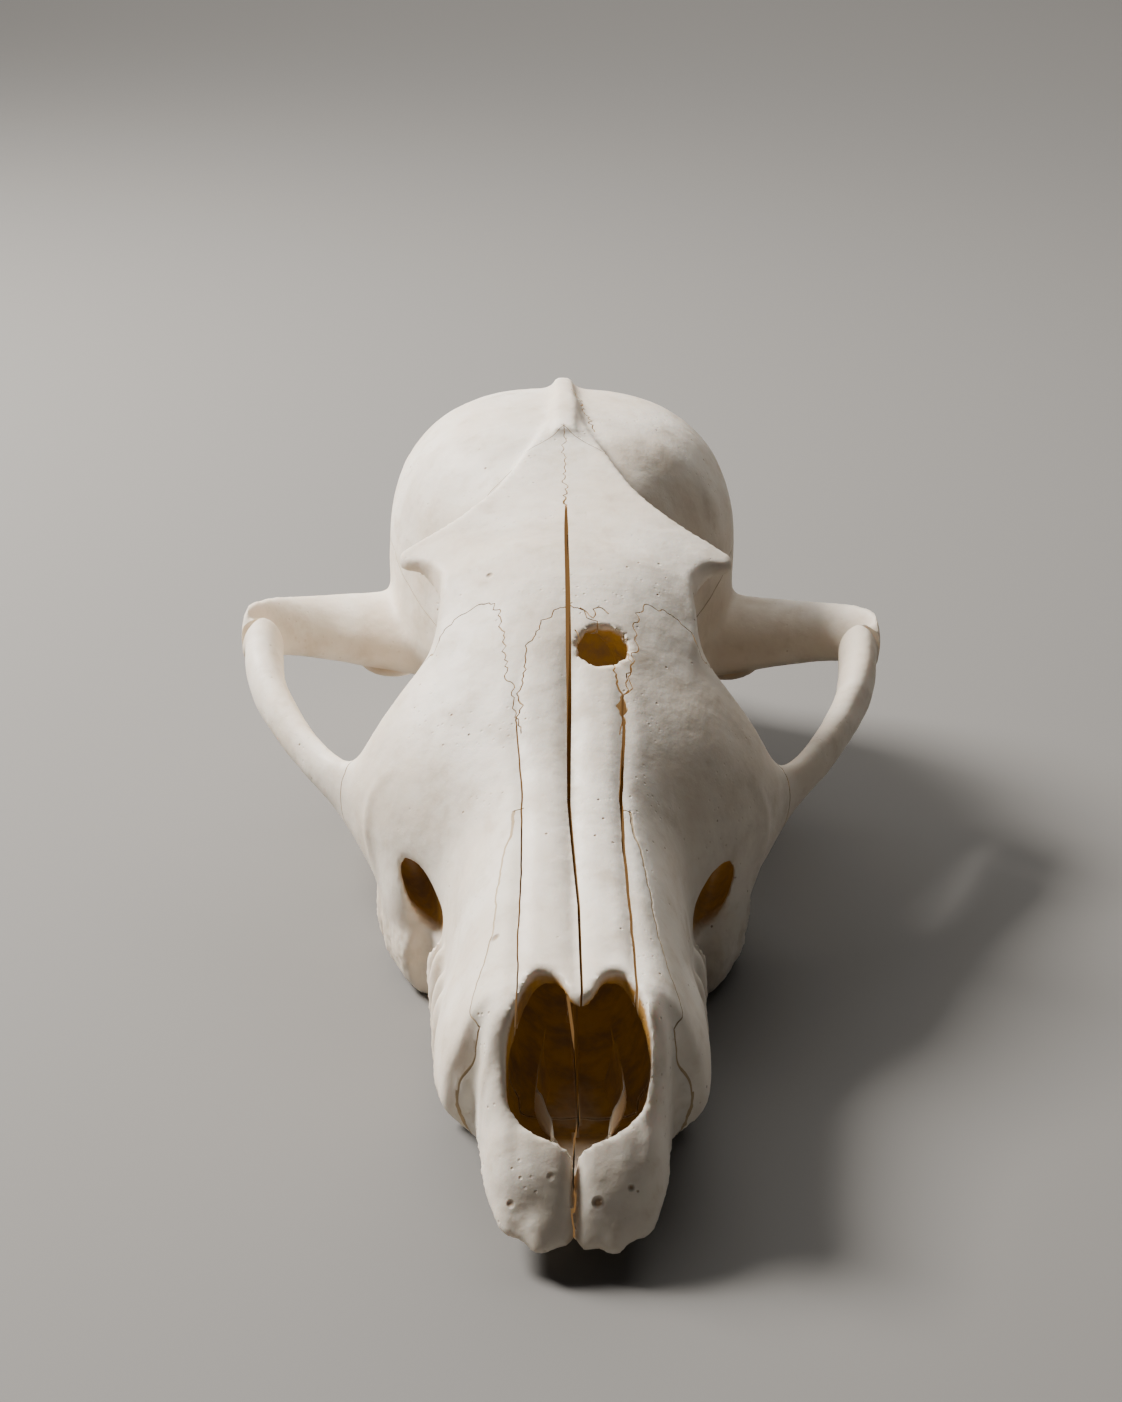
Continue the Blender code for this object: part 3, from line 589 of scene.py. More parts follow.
    def palate(self, c: Carver) -> None:
        """Molar ridge of each side and the hollow between them.

        Args:
            c: The carver.
        """
        x, y, z = c.out, c.along, c.up
        ridge = c.strut(y, x, z, (51, 79), (
            ((49.4, 14.2), (56, 16.4), (62, 17.2), (70, 15.2), (79, 11)), ((49.4, 4.4), (60, 5.4), (79, 5)),
            ((49.4, 2.7), (60, 3.5), (79, 2)), ((49.4, 4.4), (60, 5.6), (79, 4))), edge=0.9)
        c.add(ridge, 1.4)
        c.add(c.ellipsoid((18.4, 55.5, 12), (1.8, 4.6, 5.4), yaw=-20), 2)
        c.add(c.ellipsoid((10.2, 23, 10.5), (2.9, 9, 6)), 2.5)
        hollow = c.strut(y, x, z, (6, 78), (
            ((6, 0), (78, 0)), ((6, 0), (78, 0)),
            ((6, 3.5), (14, 4.8), (26, 7), (40, 7.4), (54, 9.6), (66, 11.4), (78, 8)),
            ((6, 4.6), (18, 6.6), (40, 5), (78, 5))), edge=2, power=3)
        c.cut(hollow, 1.5)

    def roots(self, c: Carver) -> None:
        """Swellings over the roots of cheek teeth and incisors, and the hollow beside the latter.

        Args:
            c: The carver.
        """
        for across, back, *_ in self.sockets[4:12]:
            c.add(c.ellipsoid((across + 1.9, back, 6.5), (1.5, 1.6, 5)), 1.2)
        c.cut(c.ellipsoid((5.4, 0.7, 7.4), (2.6, 1.6, 2.2)), 1.4)
        turn = c.bench.maths("COSINE", c.out * 1.8)
        fade = c.share(6 - c.up, 4) * c.share(9 - c.along, 4)
        c.solid = c.solid - turn * fade * 0.18

    def cavity(self, c: Carver) -> Wire:
        """The nasal cavity and its mouth.

        Args:
            c: The carver.

        Returns:
            The distance.
        """
        y, z = c.along, c.up
        mid = abs(c.across - c.curve(y, ((7, -0.2), (14, 0.4))))
        half = c.curve(y, ((5.6, 0.2), (6.4, 3.0), (8, 5.2), (10.4, 6.5), (13, 6.7), (40, 6.2), (58, 6.4),
            (69, 6)))
        edge = y - c.curve(mid, ((0, 13.3), (0.6, 13.6), (2.3, 16.4), (3.6, 17), (5, 15.6), (6.4, 12.2),
            (7.2, 10.4), (8, 9)))
        ceiling = c.roof - 1.3
        floor = c.curve(y, ((5, 9.6), (9, 8.6), (14, 7.6), (20, self.cavity_floor)))
        middle = (ceiling + floor) * 0.5
        tall = c.high((ceiling - floor) * 0.5, 2)
        inner = (c.oval(mid / half, (z - middle) / tall, 2.4) - 1.0) * c.low(half, tall)
        mouth = c.high(c.meet(mid - half, floor - z, 5), edge)
        return c.high(c.join(inner, mouth, 0.5), y - 69)

    def openings(self, c: Carver) -> Wire:
        """Nasal cavity, hole in the frontal, spinal opening, foramina and tooth sockets.

        Args:
            c: The carver.

        Returns:
            The distance to the walls that lie deep in them.
        """
        x, y, z = c.out, c.along, c.up
        ragged = (c.bench.noise(c.place, 0.9, 3.0) - 0.5) * 1.6
        hole = c.length(c.across - 3.6, (y - 61.4 + 0.6 * (z - 38)) * 0.86) - 2.8 + ragged
        hole = c.high(hole, 30 - z)
        magnum = c.high(c.length(x / 1.15, z - 20) - 6.2, 132 - y)
        canal = c.strut(y, x, z, (44, 74), (
            ((44, 14.4), (52, 16), (62, 18.4), (74, 21)), ((44, 12), (74, 16.6)),
            ((44, 1.7), (60, 1.8), (74, 2)), ((44, 4.4), (60, 3.4), (74, 2.8))), edge=3, lean=-0.25)
        cavity = self.cavity(c)
        deep = c.high(c.low(c.low(cavity, hole), canal) - 0.2, c.solid + 0.9)
        cavity_rim = c.curve(y, ((8, 2.4), (12, 1)))
        for opening, rim in ((cavity, cavity_rim), (hole, 0.3), (magnum, 1.0), (canal, 0.7)):
            c.cut(opening, rim)
        for across, back, rim, wide, long, tall in self.sockets:
            c.cut(c.ellipsoid((across, back, rim), (wide, long, tall)), 0.3)
        return deep

    def roof_lines(self, c: Carver) -> None:
        """The midline, the upper line and the upper face with its nasal ridges.

        Args:
            c: The carver.
        """
        y = c.along
        c.fold(c.curve(y, ((90, 0), (116, 0.4))))
        x = c.out
        c.crown = c.curve(y, self.dorsal)
        droop = c.curve(y, ((0, 0.3), (50, 1), (60, 2), (66, 3.4), (73, 4.4), (81, 3.4), (90, 1.4)))
        rolled = 1.0 - c.share(x, 2.6)
        groove = c.curve(y, ((14, 0.4), (30, 0.8), (50, 0.9), (64, 0.3), (70, 0)))
        out = x / 18
        beside = 1.0 - c.share(abs(x - c.curve(y, self.nasal_edge)), 1.8)
        valley = c.curve(y, ((12, 0.3), (24, 0.45), (52, 0.45), (60, 0.1), (66, 0)))
        steep = c.curve(y, ((8, 0.15), (22, 0.3), (36, 0.42), (50, 0.5), (60, 0.42), (68, 0.2), (75, 0)))
        sloped = steep * c.meet(x - 5.4, 0.0, 4)
        c.roof = c.crown - droop * out * out - groove * rolled * rolled - valley * beside * beside - sloped

    def skull(self, c: Carver) -> tuple[Wire, Wire]:
        """Build up the whole skull.

        Args:
            c: The carver.

        Returns:
            Distances to the skull and to the walls deep in its openings.
        """
        self.roof_lines(c)
        self.muzzle(c)
        for centre, radii, edge in self.orbits:
            c.cut(c.ellipsoid(centre, radii), edge)
        c.add(self.brain_case(c), 3)
        c.add(self.brow_plate(c), 1.8)
        self.hind_parts(c)
        self.palate(c)
        self.cheek_arch(c)
        self.roots(c)
        deep = self.openings(c)
        return c.high(c.solid, -c.up), deep

    def weathering(self, c: Carver) -> Wire:
        """How far the worn surface stands out, in millimetres.

        Args:
            c: The carver.

        Returns:
            The height.
        """
        waves = (c.bench.noise(c.place, 0.16, 2.0) - 0.5) * 0.32
        grain = (c.bench.noise(c.place, 0.7, 3.0, 0.6) - 0.5) * 0.07
        ragged = (c.bench.noise(c.place, 1.1, 3.0, 0.6) - 0.5) * (0.8 - 0.6 * c.share(8 - c.along, 3.0))
        border = c.share(9.5 - c.up, 5.0) * c.share(80 - c.along, 4.0)
        return (waves + grain + ragged * border) * c.share(c.up - 0.4, 2.0)


@dataclass(frozen=True)
class Sutures:
    """Thin ribbons that part the skull into its bones, as paths of (across, behind the tip)."""

    width: float = 0.3
    fine: float = 0.13
    step: float = 0.4
    coarse_step: float = 3.5
    tip_cut: Stations = ((-0.3, -3), (-0.3, 5.6))
    face_cut: Stations = ((-0.3, 5.8), (-0.1, 10), (0.4, 14), (0.4, 27), (-0.3, 42), (-0.1, 55), (-0.1, 77.6),
        (-0.1, 77.7), (0, 86))
    brow_cut: Stations = ((0, 86.2), (0, 104.4))
    midline_fit: Stations = ((-3, 0.15), (12, 0.2), (14, 0.25), (30, 0.3), (44, 0.4), (56, 0.55), (62, 0.62),
        (82, 0.5), (88, 0.25), (92, 0.13), (105, 0.1))
    incisive_cut: Stations = ((14.4, -1), (14.4, 10.6))
    nasal_edge: Stations = ((5.6, 10), (5.6, 14), (5.5, 22), (5.2, 32), (5.1, 44), (5.7, 52), (4.7, 61),
        (2.5, 65), (-0.4, 67))
    nasal_depth: Stations = ((20, 9), (40, 12.5))
    frontal_edge: Stations = ((5.2, 51), (6.4, 57), (7.2, 62), (7.6, 67.2), (9.3, 68.8), (11.2, 69.1),
        (13.4, 68.2), (15, 66.8), (17.5, 69), (22, 72))
    coronal: Stations = ((-0.3, 104.2), (3, 101.5), (8, 97.5), (14, 94.5), (24, 92.2))
    temporal_edge: Stations = ((26, 97), (13, 97), (9.6, 101), (9, 115), (9.3, 136.8))
    jugal_edge: Stations = ((30, 59), (24.6, 64.2), (20.2, 69), (18.2, 75), (17, 84))
    arch_gap: Stations = ((31, 99.4), (36, 98.2), (38.6, 96.2), (43, 93))
    arch_fit: tuple[float, ...] = (0.2, 0.35, 0.9, 1.6)
    premaxilla_edge: Stations = ((14.4, 7), (14.3, 12), (14.2, 17.4), (16, 19), (20, 20.5), (25, 21.9),
        (28.4, 22.9), (35.4, 24.8), (41.6, 27), (42.6, 34))
    crest_crack: Stations = ((1.2, 118), (2.3, 116.3), (2.6, 112), (3.4, 108.4), (3.9, 105.6))
    cracked: float = 0.16
    crack_depth: float = 2.6
    hole_cracks: tuple[Stations, ...] = (((1.2, 66.2), (2.6, 65.0), (3.2, 66.6), (4.4, 65.6)),
        ((6.0, 63.6), (6.6, 60), (6.2, 57.4), (5.6, 54)), ((0.6, 63.4), (1.3, 62.6), (1.1, 61.2)))
    parietal_end: float = 137.2
    parietal_strides: int = 12
    parietal_edge: Stations = ((88, 22), (100, 27), (110, 32), (120, 32.5), (130, 29), (138, 26.5))
    occipital_edge: Stations = ((141.5, 62), (138.6, 46), (136, 32), (134.4, 20), (134.2, -1))
    gaping: str = "cut_arch"
    ear_wall: Stations = ((21, 105.4), (4.2, 105.4), (4.2, 128.4), (21, 128.4))
    ear_top: float = 9.2
    maxilla_end: float = 77.6
    frontal_floor: float = 15.8
    close_fit: Stations = ((10, 0.14), (44, 0.2), (56, 0.16), (68, 0.12))
    loose_fit: Stations = ((10, 0.2), (34, 0.34), (46, 0.42), (56, 0.3), (60, 0.14), (68, 0.12))

    @staticmethod
    def level(stations: Stations, place: float) -> float:
        """Straight reading of a list of stations.

        Args:
            stations: Place and value of each.
            place: Where to read.

        Returns:
            The value.
        """
        for (start, first), (end, second) in zip(stations, stations[1:]):
            if place <= end:
                return first + max(0.0, (place - start) / (end - start)) * (second - first)
        return stations[-1][1]

    @staticmethod
    def walk(path: Path, step: float) -> Path:
        """The points of a path with others between them.

        Args:
            path: Its corners.
            step: The longest stride.

        Returns:
            The points.
        """
        points = [tuple(path[0])]
        for start, end in zip(path, path[1:]):
            count = max(1, math.ceil(math.dist(start, end) / step))
            points += [tuple(a + (b - a) * i / count for a, b in zip(start, end))
                for i in range(1, count + 1)]
        return points

    def serrated(self, path: Path, reach: float, pitch: float, seed: float) -> Path:
        """A path whose line wanders from side to side as a suture does.

        Args:
            path: Its corners.
            reach: How far it wanders.
            pitch: The length of one tooth.
            seed: Makes one suture differ from the next.

        Returns:
            The points.
        """
        points = self.walk(path, self.step)
        total = len(points) - 1
        bent = []
        for i, (a, b) in enumerate(points):
            before, after = points[max(0, i - 1)], points[min(total, i + 1)]
            run = math.dist(before, after) or 1.0
            normal = ((after[1] - before[1]) / run, -(after[0] - before[0]) / run)
            fade = min(1.0, i * self.step / 2.0, (total - i) * self.step / 2.0)
            wave = noise.noise(Vector((i * self.step / pitch, seed, 0.0)))
            fine = noise.noise(Vector((i * self.step / pitch * 2.7, seed, 9.0))) * 0.5
            shift = reach * fade * max(-1.0, min(1.0, 2.2 * (wave + fine)))
            bent.append((a + normal[0] * shift, b + normal[1] * shift))
        return bent

    def sheet(self, name: str, rows: Sequence[Sequence[Place]], widths: Widths = 0.0) -> bpy.types.Object:
        """A ribbon through rows of points; its walls are marked, so that cut bone shows a tan seam and, where
        it faces sideways, a painted glow.

        Args:
            name: Its name.
            rows: Points in millimetres, every row as long as the next.
            widths: Thickness at each point of a row, or one for all; 0 for the usual one.

        Returns:
            The ribbon.
        """
        bm = bmesh.new()
        layer = bm.verts.layers.deform.verify()
        line = [bm.verts.new(self.seat(point)) for point in rows[0]]
        edges = [bm.edges.new(pair) for pair in zip(line, line[1:])]
        last = line
        for row in rows[1:]:
            grown = bmesh.ops.extrude_edge_only(bm, edges=edges)["geom"]
            edges = [part for part in grown if isinstance(part, bmesh.types.BMEdge)
                and all(vert not in last for vert in part.verts)]
            heads = {vert for edge in edges for vert in edge.verts}
            follow = []
            for vert in last:
                follow.append(next(edge.other_vert(vert) for edge in vert.link_edges
                    if edge.other_vert(vert) in heads))
            for vert, point in zip(follow, row):
                vert.co = self.seat(point)
            last = follow
        varied = isinstance(widths, Sequence)
        most = max(widths) if varied else widths or self.width
        if varied:
            rank = {vert: i for i, vert in enumerate(line)}
            for vert in bm.verts:
                vert[layer][0] = widths[rank.get(vert, last.index(vert) if vert in last else 0)] / most
        mesh = mesh_of(bm, name)
        mark = 0.0 if name.startswith(self.gaping) else 1.0
        mesh.attributes.new("cut", "FLOAT", "FACE").data.foreach_set("value", [mark] * len(mesh.polygons))
        ribbon = placed(name, mesh)
        thick = ribbon.modifiers.new("Thickness", "SOLIDIFY")
        thick.thickness = most * MM
        thick.offset = 0.0
        if varied:
            ribbon.vertex_groups.new(name="width")
            thick.vertex_group = "width"
        return ribbon

    @staticmethod
    def seat(point: Place) -> Vector:
        """A place in millimetres behind the tip, as one in the frame."""
        return Vector((point[0] * MM, (point[1] - MID) * MM, point[2] * MM))

    def curtain(self, name: str, path: Path, bottom: Height, top: Height, side: int = 1,
            widths: Widths = 0.0) -> bpy.types.Object:
        """A ribbon that stands on a path seen from above.

        Args:
            name: Its name.
            path: Its points across and behind the tip.
            bottom: Height of its lower edge, or that height at a distance behind the tip.
            top: Its upper edge.
            side: 1 or -1.
            widths: Thickness at each point, or one for all.

        Returns:
            The ribbon.
        """
        rows = [[(side * x, y, edge(y) if callable(edge) else edge) for x, y in path]
            for edge in (bottom, top)]
        return self.sheet(name, rows, widths)

    def across(self, name: str, path: Path, inner: float, outer: float) -> bpy.types.Object:
        """A ribbon on a path seen from the side, as a run of (behind the tip, up)."""
        return self.sheet(name, [[(x, y, z) for y, z in path] for x in (inner, outer)], self.fine)

    def across_both(self, path: Path) -> Path:
        """A path from the midline outward, walked from the far right over the midline to the far left."""
        half = self.walk([(0, path[0][1]), *path[1:]], self.coarse_step)
        return [(-x, y) for x, y in half[:0:-1]] + half

    def parietal_sheet(self) -> bpy.types.Object:
        """Cut under the parietals, from the coronal suture back to the occipital.

        Returns:
            The ribbon.
        """
        rows = []
        for x, front in self.across_both(self.coronal):
            stride = (self.parietal_end - front) / self.parietal_strides
            stations = [front - self.width + stride * i for i in range(self.parietal_strides + 1)]
            rows.append([(x, y, self.level(self.parietal_edge, y)) for y in stations])
        return self.sheet("cut_parietal", rows, self.fine)

    def frontal_floor_sheet(self) -> bpy.types.Object:
        """Level cut under the frontals, from a little ahead of their edge.

        Returns:
            The ribbon.
        """
        ahead_of = [(x + 0.8, y - 1.0) for x, y in self.frontal_edge]
        rows = []
        for x, ahead in self.across_both((ahead_of[0], *ahead_of)):
            behind = self.level(self.coronal, abs(x)) + self.width
            rows.append([(x, y, self.frontal_floor) for y in (ahead, behind)])
        return self.sheet("cut_frontal_floor", rows, self.fine)

    def crack(self, name: str, path: Stations, dorsal: Stations) -> bpy.types.Object:
        """A hairline crack, not through the bone, that follows a path on the upper face.

        Args:
            name: Its name.
            path: Its points across and behind the tip.
            dorsal: The upper line of the skull.

        Returns:
            The ribbon.
        """
        bent = self.serrated(path, 0.3, 0.9, len(name) + path[0][0])
        return self.curtain(
            name, bent, lambda y: self.level(dorsal, y) - self.crack_depth, SKY, widths=self.cracked)

    def midline(self) -> bpy.types.Object:
        """The suture between left and right, widest over the forehead and closed at its top.

        Returns:
            The ribbon.
        """
        path = self.serrated(self.tip_cut, 0.2, 1.2, 4.0)
        path += self.walk(self.face_cut, self.step)
        path += self.serrated(self.brow_cut, 0.35, 1.3, 3.0)
        widths = [self.level(self.midline_fit, y) for _, y in path]
        return self.curtain("cut_midline", path, self.under_midline, SKY, widths=widths)

    def ribbons(self, dorsal: Stations) -> list[bpy.types.Object]:
        """Every ribbon.

        Args:
            dorsal: The upper line of the skull.

        Returns:
            The ribbons, ready to cut with.
        """
        def under_nasal(y: float) -> float:
            """Lower edge of the cut beside a nasal."""
            return self.level(dorsal, y) - self.level(self.nasal_depth, y)

        palatine = ((-22, self.maxilla_end), (22, self.maxilla_end))
        cuts = [
            self.midline(), self.across("cut_incisive", self.incisive_cut, -16, 16),
            self.across("cut_occipital", self.occipital_edge, -30, 30),
            self.curtain("cut_palatine", palatine, -1, self.frontal_floor + self.width),
            self.parietal_sheet(), self.frontal_floor_sheet()]
        for i, path in enumerate((self.crest_crack, *self.hole_cracks)):
            cuts.append(self.crack(f"crack_{i}", path, dorsal))
        toothed = self.serrated(self.nasal_edge[5:], 0.45, 1.5, 1.0)
        premaxilla = self.serrated(self.premaxilla_edge, 0.1, 3.0, 5.0)
        temporal = self.walk(self.temporal_edge, self.coarse_step)
        floor = self.frontal_floor - self.width
        for side in Side:
            sign, word = side.value, side.word
            nasal = self.serrated(self.nasal_edge[:6], 0.06, 5.0, 2.0 + sign)[:-1] + toothed
            frontal = self.serrated(self.frontal_edge, 0.4, 1.4, 7.0 + sign)
            jugal = self.serrated(self.jugal_edge, 0.3, 2.0, 11.0 + sign)
            fit = self.loose_fit if side is Side.LEFT else self.close_fit
            standing = (
                ("frontal", frontal, floor, SKY, self.fine),
                ("coronal", self.coronal, floor, SKY, self.fine * 0.6),
                ("temporal", temporal, self.ear_gap, self.under_parietal, self.fine),
                ("jugal", jugal, 2, 34, self.fine),
                ("arch", self.arch_gap, 16, 34, self.arch_fit),
                ("ear_side", self.ear_wall, -1, self.ear_top + self.width, 0.0))
            widths = [self.level(fit, y) for _, y in nasal]
            cuts.append(self.curtain("cut_nasal_" + word, nasal, under_nasal, SKY, sign, widths))
            cuts.append(self.across("cut_premaxilla_" + word, premaxilla, sign * 4.9, sign * 18))
            for name, path, bottom, top, widths in standing:
                cuts.append(self.curtain(f"cut_{name}_{word}", path, bottom, top, sign, widths))
            ends = (self.ear_wall[:2], self.ear_wall[:1:-1])
            lid = [[(sign * x, y, self.ear_top) for x, y in pair] for pair in ends]
            cuts.append(self.sheet("cut_ear_top_" + word, lid))
        return cuts

    def under_midline(self, y: float) -> float:
        """Lower edge of the midline's cut: through the face, and down to a floor under the brow."""
        return -1.0 if y <= self.maxilla_end else self.frontal_floor

    def ear_gap(self, y: float) -> float:
        """Lower edge of the cut beside the base: over the ear capsule, and through elsewhere."""
        return self.ear_top if self.ear_wall[1][1] < y < self.ear_wall[2][1] else -1.0

    def under_parietal(self, y: float) -> float:
        """Upper edge of the cut beside the base, a little above the edge of the parietals."""
        return self.level(self.parietal_edge, y) + self.width


@dataclass(frozen=True)
class DryBone:
    """Old dry bone: ivory with paler and tan clouds, painted shade in hollows, pores and pits, dull tan seams
    and amber inside the nose; the nose's inside and the cut walls glow with painted light.
    """

    name: str
    ivory: Colour = (0.77, 0.665, 0.54)
    pale: Colour = (0.89, 0.815, 0.71)
    ashen: Colour = (0.66, 0.585, 0.49)
    tan: Colour = (0.56, 0.43, 0.29)
    # dark brown: stain mottled into the nose's amber, and painted shade in pits and small holes
    stain: Colour = (0.24, 0.13, 0.05)
    amber: Colour = (0.44, 0.22, 0.025)
    seam: Colour = (0.50, 0.37, 0.22)
    # painted light: emission colour of cut walls that face sideways
    lit: Colour = (0.6, 0.37, 0.15)
    gloss: float = 0.58
    shine: float = 0.4
    pores: float = 0.4
    # painted light: strength of the glow inside the nose and on cut walls; the nose's painted glow grows from
    # the lower of glow_heights to the upper
    glow: float = 0.2
    glow_heights: tuple[float, float] = (26, 32)
    relief: float = 0.00018
    cloud_scale: float = 60.0
    sheen_scale: float = 85.0
    wear_scale: float = 120.0
    ash_scale: float = 130.0
    mottle_scale: float = 260.0
    hole_scale: float = 420.0
    dot_scale: float = 1100.0
    grain_scale: float = 1400.0
    streak_scale: Place = (900.0, 120.0, 900.0)
    pits: tuple[tuple[float, float, float, float], ...] = (
        (-8.9, 72.7, 42.1, 0.42), (-7.9, 23.5, 22.2, 0.5), (-11.2, 54.3, 32.0, 0.4), (-3.4, 13.0, 8.6, 0.35),
        (7.2, 46.0, 29.2, 0.3), (8.3, 33.0, 24.4, 0.35), (10.4, 76.0, 42.0, 0.28), (-2.4, 3.2, 8.6, 0.4),
        (1.9, 2.2, 6.5, 0.45), (6.6, 4.6, 9.4, 0.4), (-6.1, 2.6, 6.0, 0.35), (4.9, 3.0, 7.6, 0.3))

    def material(self) -> bpy.types.Material:
        """Build the finish.

        Returns:
            The material.
        """
        made, shader = fresh_material(self.name)
        bench = Bench(made.node_tree)
        spot = bench.wire("ShaderNodeTexCoord", None, (), "Object")
        hollow, inner, cut = (bench.wire("ShaderNodeAttribute", {"attribute_name": word}, (), "Fac")
            for word in ("hollow", "inner", "cut"))
        clouds = bench.noise(spot, self.cloud_scale, 4.0, 0.6)
        mottle = bench.noise(spot, self.mottle_scale, 5.0, 0.65)
        grain = bench.noise(spot, self.grain_scale, 4.0, 0.65)
        ash = bench.noise(spot, self.ash_scale, 4.0, 0.6)
        streaks = bench.noise(bench.vector("MULTIPLY", (spot, self.streak_scale)), 1.0, 3.0)
        worn = bench.span(bench.noise(spot, self.wear_scale, 3.0), 0.5, 0.66)
        sheen = bench.span(bench.noise(spot, self.sheen_scale, 2.0), 0.42, 0.6)
        pits = self.pitting(bench, spot)
        dots = bench.span(bench.cells(spot, self.dot_scale), 0.24, 0.04) * worn
        holes = bench.span(bench.cells(spot, self.hole_scale), 0.09, 0.02) * bench.span(clouds, 0.42, 0.6)
        # painted shade: hollows darken towards tan, broken up by the mottle
        sunk = bench.span(hollow + (mottle - 0.5) * 0.5, 0.45, 1.05)
        colour = bench.blend(bench.span(clouds, 0.36, 0.64), self.ivory, self.pale)
        layers = (
            (bench.span(ash, 0.45, 0.7) * 0.55, self.ashen),
            (bench.span(mottle, 0.5, 0.8) * 0.45, self.tan),
            (bench.span(streaks, 0.55, 0.8) * 0.12, self.tan),
            # painted shade in hollows and in the fine pores, which the bump also sinks
            (bench.maths("ADD", sunk * 0.75, dots * self.pores * 0.6, clamp=True), self.tan),
            # painted shade in small holes and in the listed pits, which the bump also sinks
            (bench.maths("MAXIMUM", holes * 0.8, pits * 0.9), self.stain))
        for share, tint in layers:
            colour = bench.blend(share, colour, tint)
        amber = bench.blend(bench.span(mottle, 0.35, 0.7), self.amber, self.stain)
        colour = bench.blend(cut, bench.blend(inner, colour, amber), self.seam)
        normal = bench.wire("ShaderNodeNewGeometry", None, (), "Normal")
        sideways = abs(bench.wire("ShaderNodeSeparateXYZ", None, (normal,)))
        # painted glow: the nose's walls and plates and the patch under each arch emit amber, stronger towards
        # the top, in place of light coming through thin bone
        low, high = (height * MM for height in self.glow_heights)
        raised = bench.span(bench.wire("ShaderNodeSeparateXYZ", None, (spot,), "Z"), low, high)
        glow = bench.blend(inner * (0.3 + 0.7 * raised), (0.0, 0.0, 0.0), amber)
        # painted light: cut walls that face sideways glow
        glow = bench.blend(cut * bench.span(sideways, 0.6, 0.85), glow, self.lit)
        height = grain * 0.25 + mottle * 0.5 + streaks * 0.15 - holes - pits * 2.5 - dots * self.pores
        values = {"Strength": 0.7, "Distance": self.relief, "Height": height}
        bump = bench.wire("ShaderNodeBump", None, values)
        rough = self.gloss + 0.15 * bench.span(mottle, 0.3, 0.8) + 0.12 * worn + sunk * 0.15 - 0.08 * sheen
        wires = {"Base Color": colour, "Roughness": rough, "Normal": bump, "Emission Color": glow}
        for word, wire in wires.items():
            bench.tree.links.new(wire.socket, shader.inputs[word])
        levels = {
            "Emission Strength": self.glow, "Subsurface Weight": 0.15, "Subsurface Radius": (1.0, 0.6, 0.35),
            "Subsurface Scale": 0.0015, "Specular IOR Level": self.shine}
        for word, value in levels.items():
            shader.inputs[word].default_value = value
        return made

    def pitting(self, bench: Bench, spot: Wire) -> Wire:
        """Where the larger single pits lie.

        Args:
            bench: The finish's tree.
            spot: The place on the bone.

        Returns:
            1 in a pit, 0 outside.
        """
        near = []
        for x, y, z, radius in self.pits:
            offset = bench.vector("SUBTRACT", (spot, Sutures.seat((x, y, z))))
            near.append(bench.span(bench.size(offset), radius * 1.5 * MM, radius * 0.5 * MM))
        return functools.reduce(lambda a, b: bench.maths("MAXIMUM", a, b), near)


@dataclass(frozen=True)
class PaleFloor:
    """Plain pale matt floor."""

    colour: Colour = (0.175, 0.169, 0.16)
    roughness: float = 0.8

    def material(self) -> bpy.types.Material:
        """Build the finish.

        Returns:
            The material.
        """
        made, shader = fresh_material("pale_floor")
        shader.inputs["Base Color"].default_value = (*self.colour, 1.0)
        shader.inputs["Roughness"].default_value = self.roughness
        return made


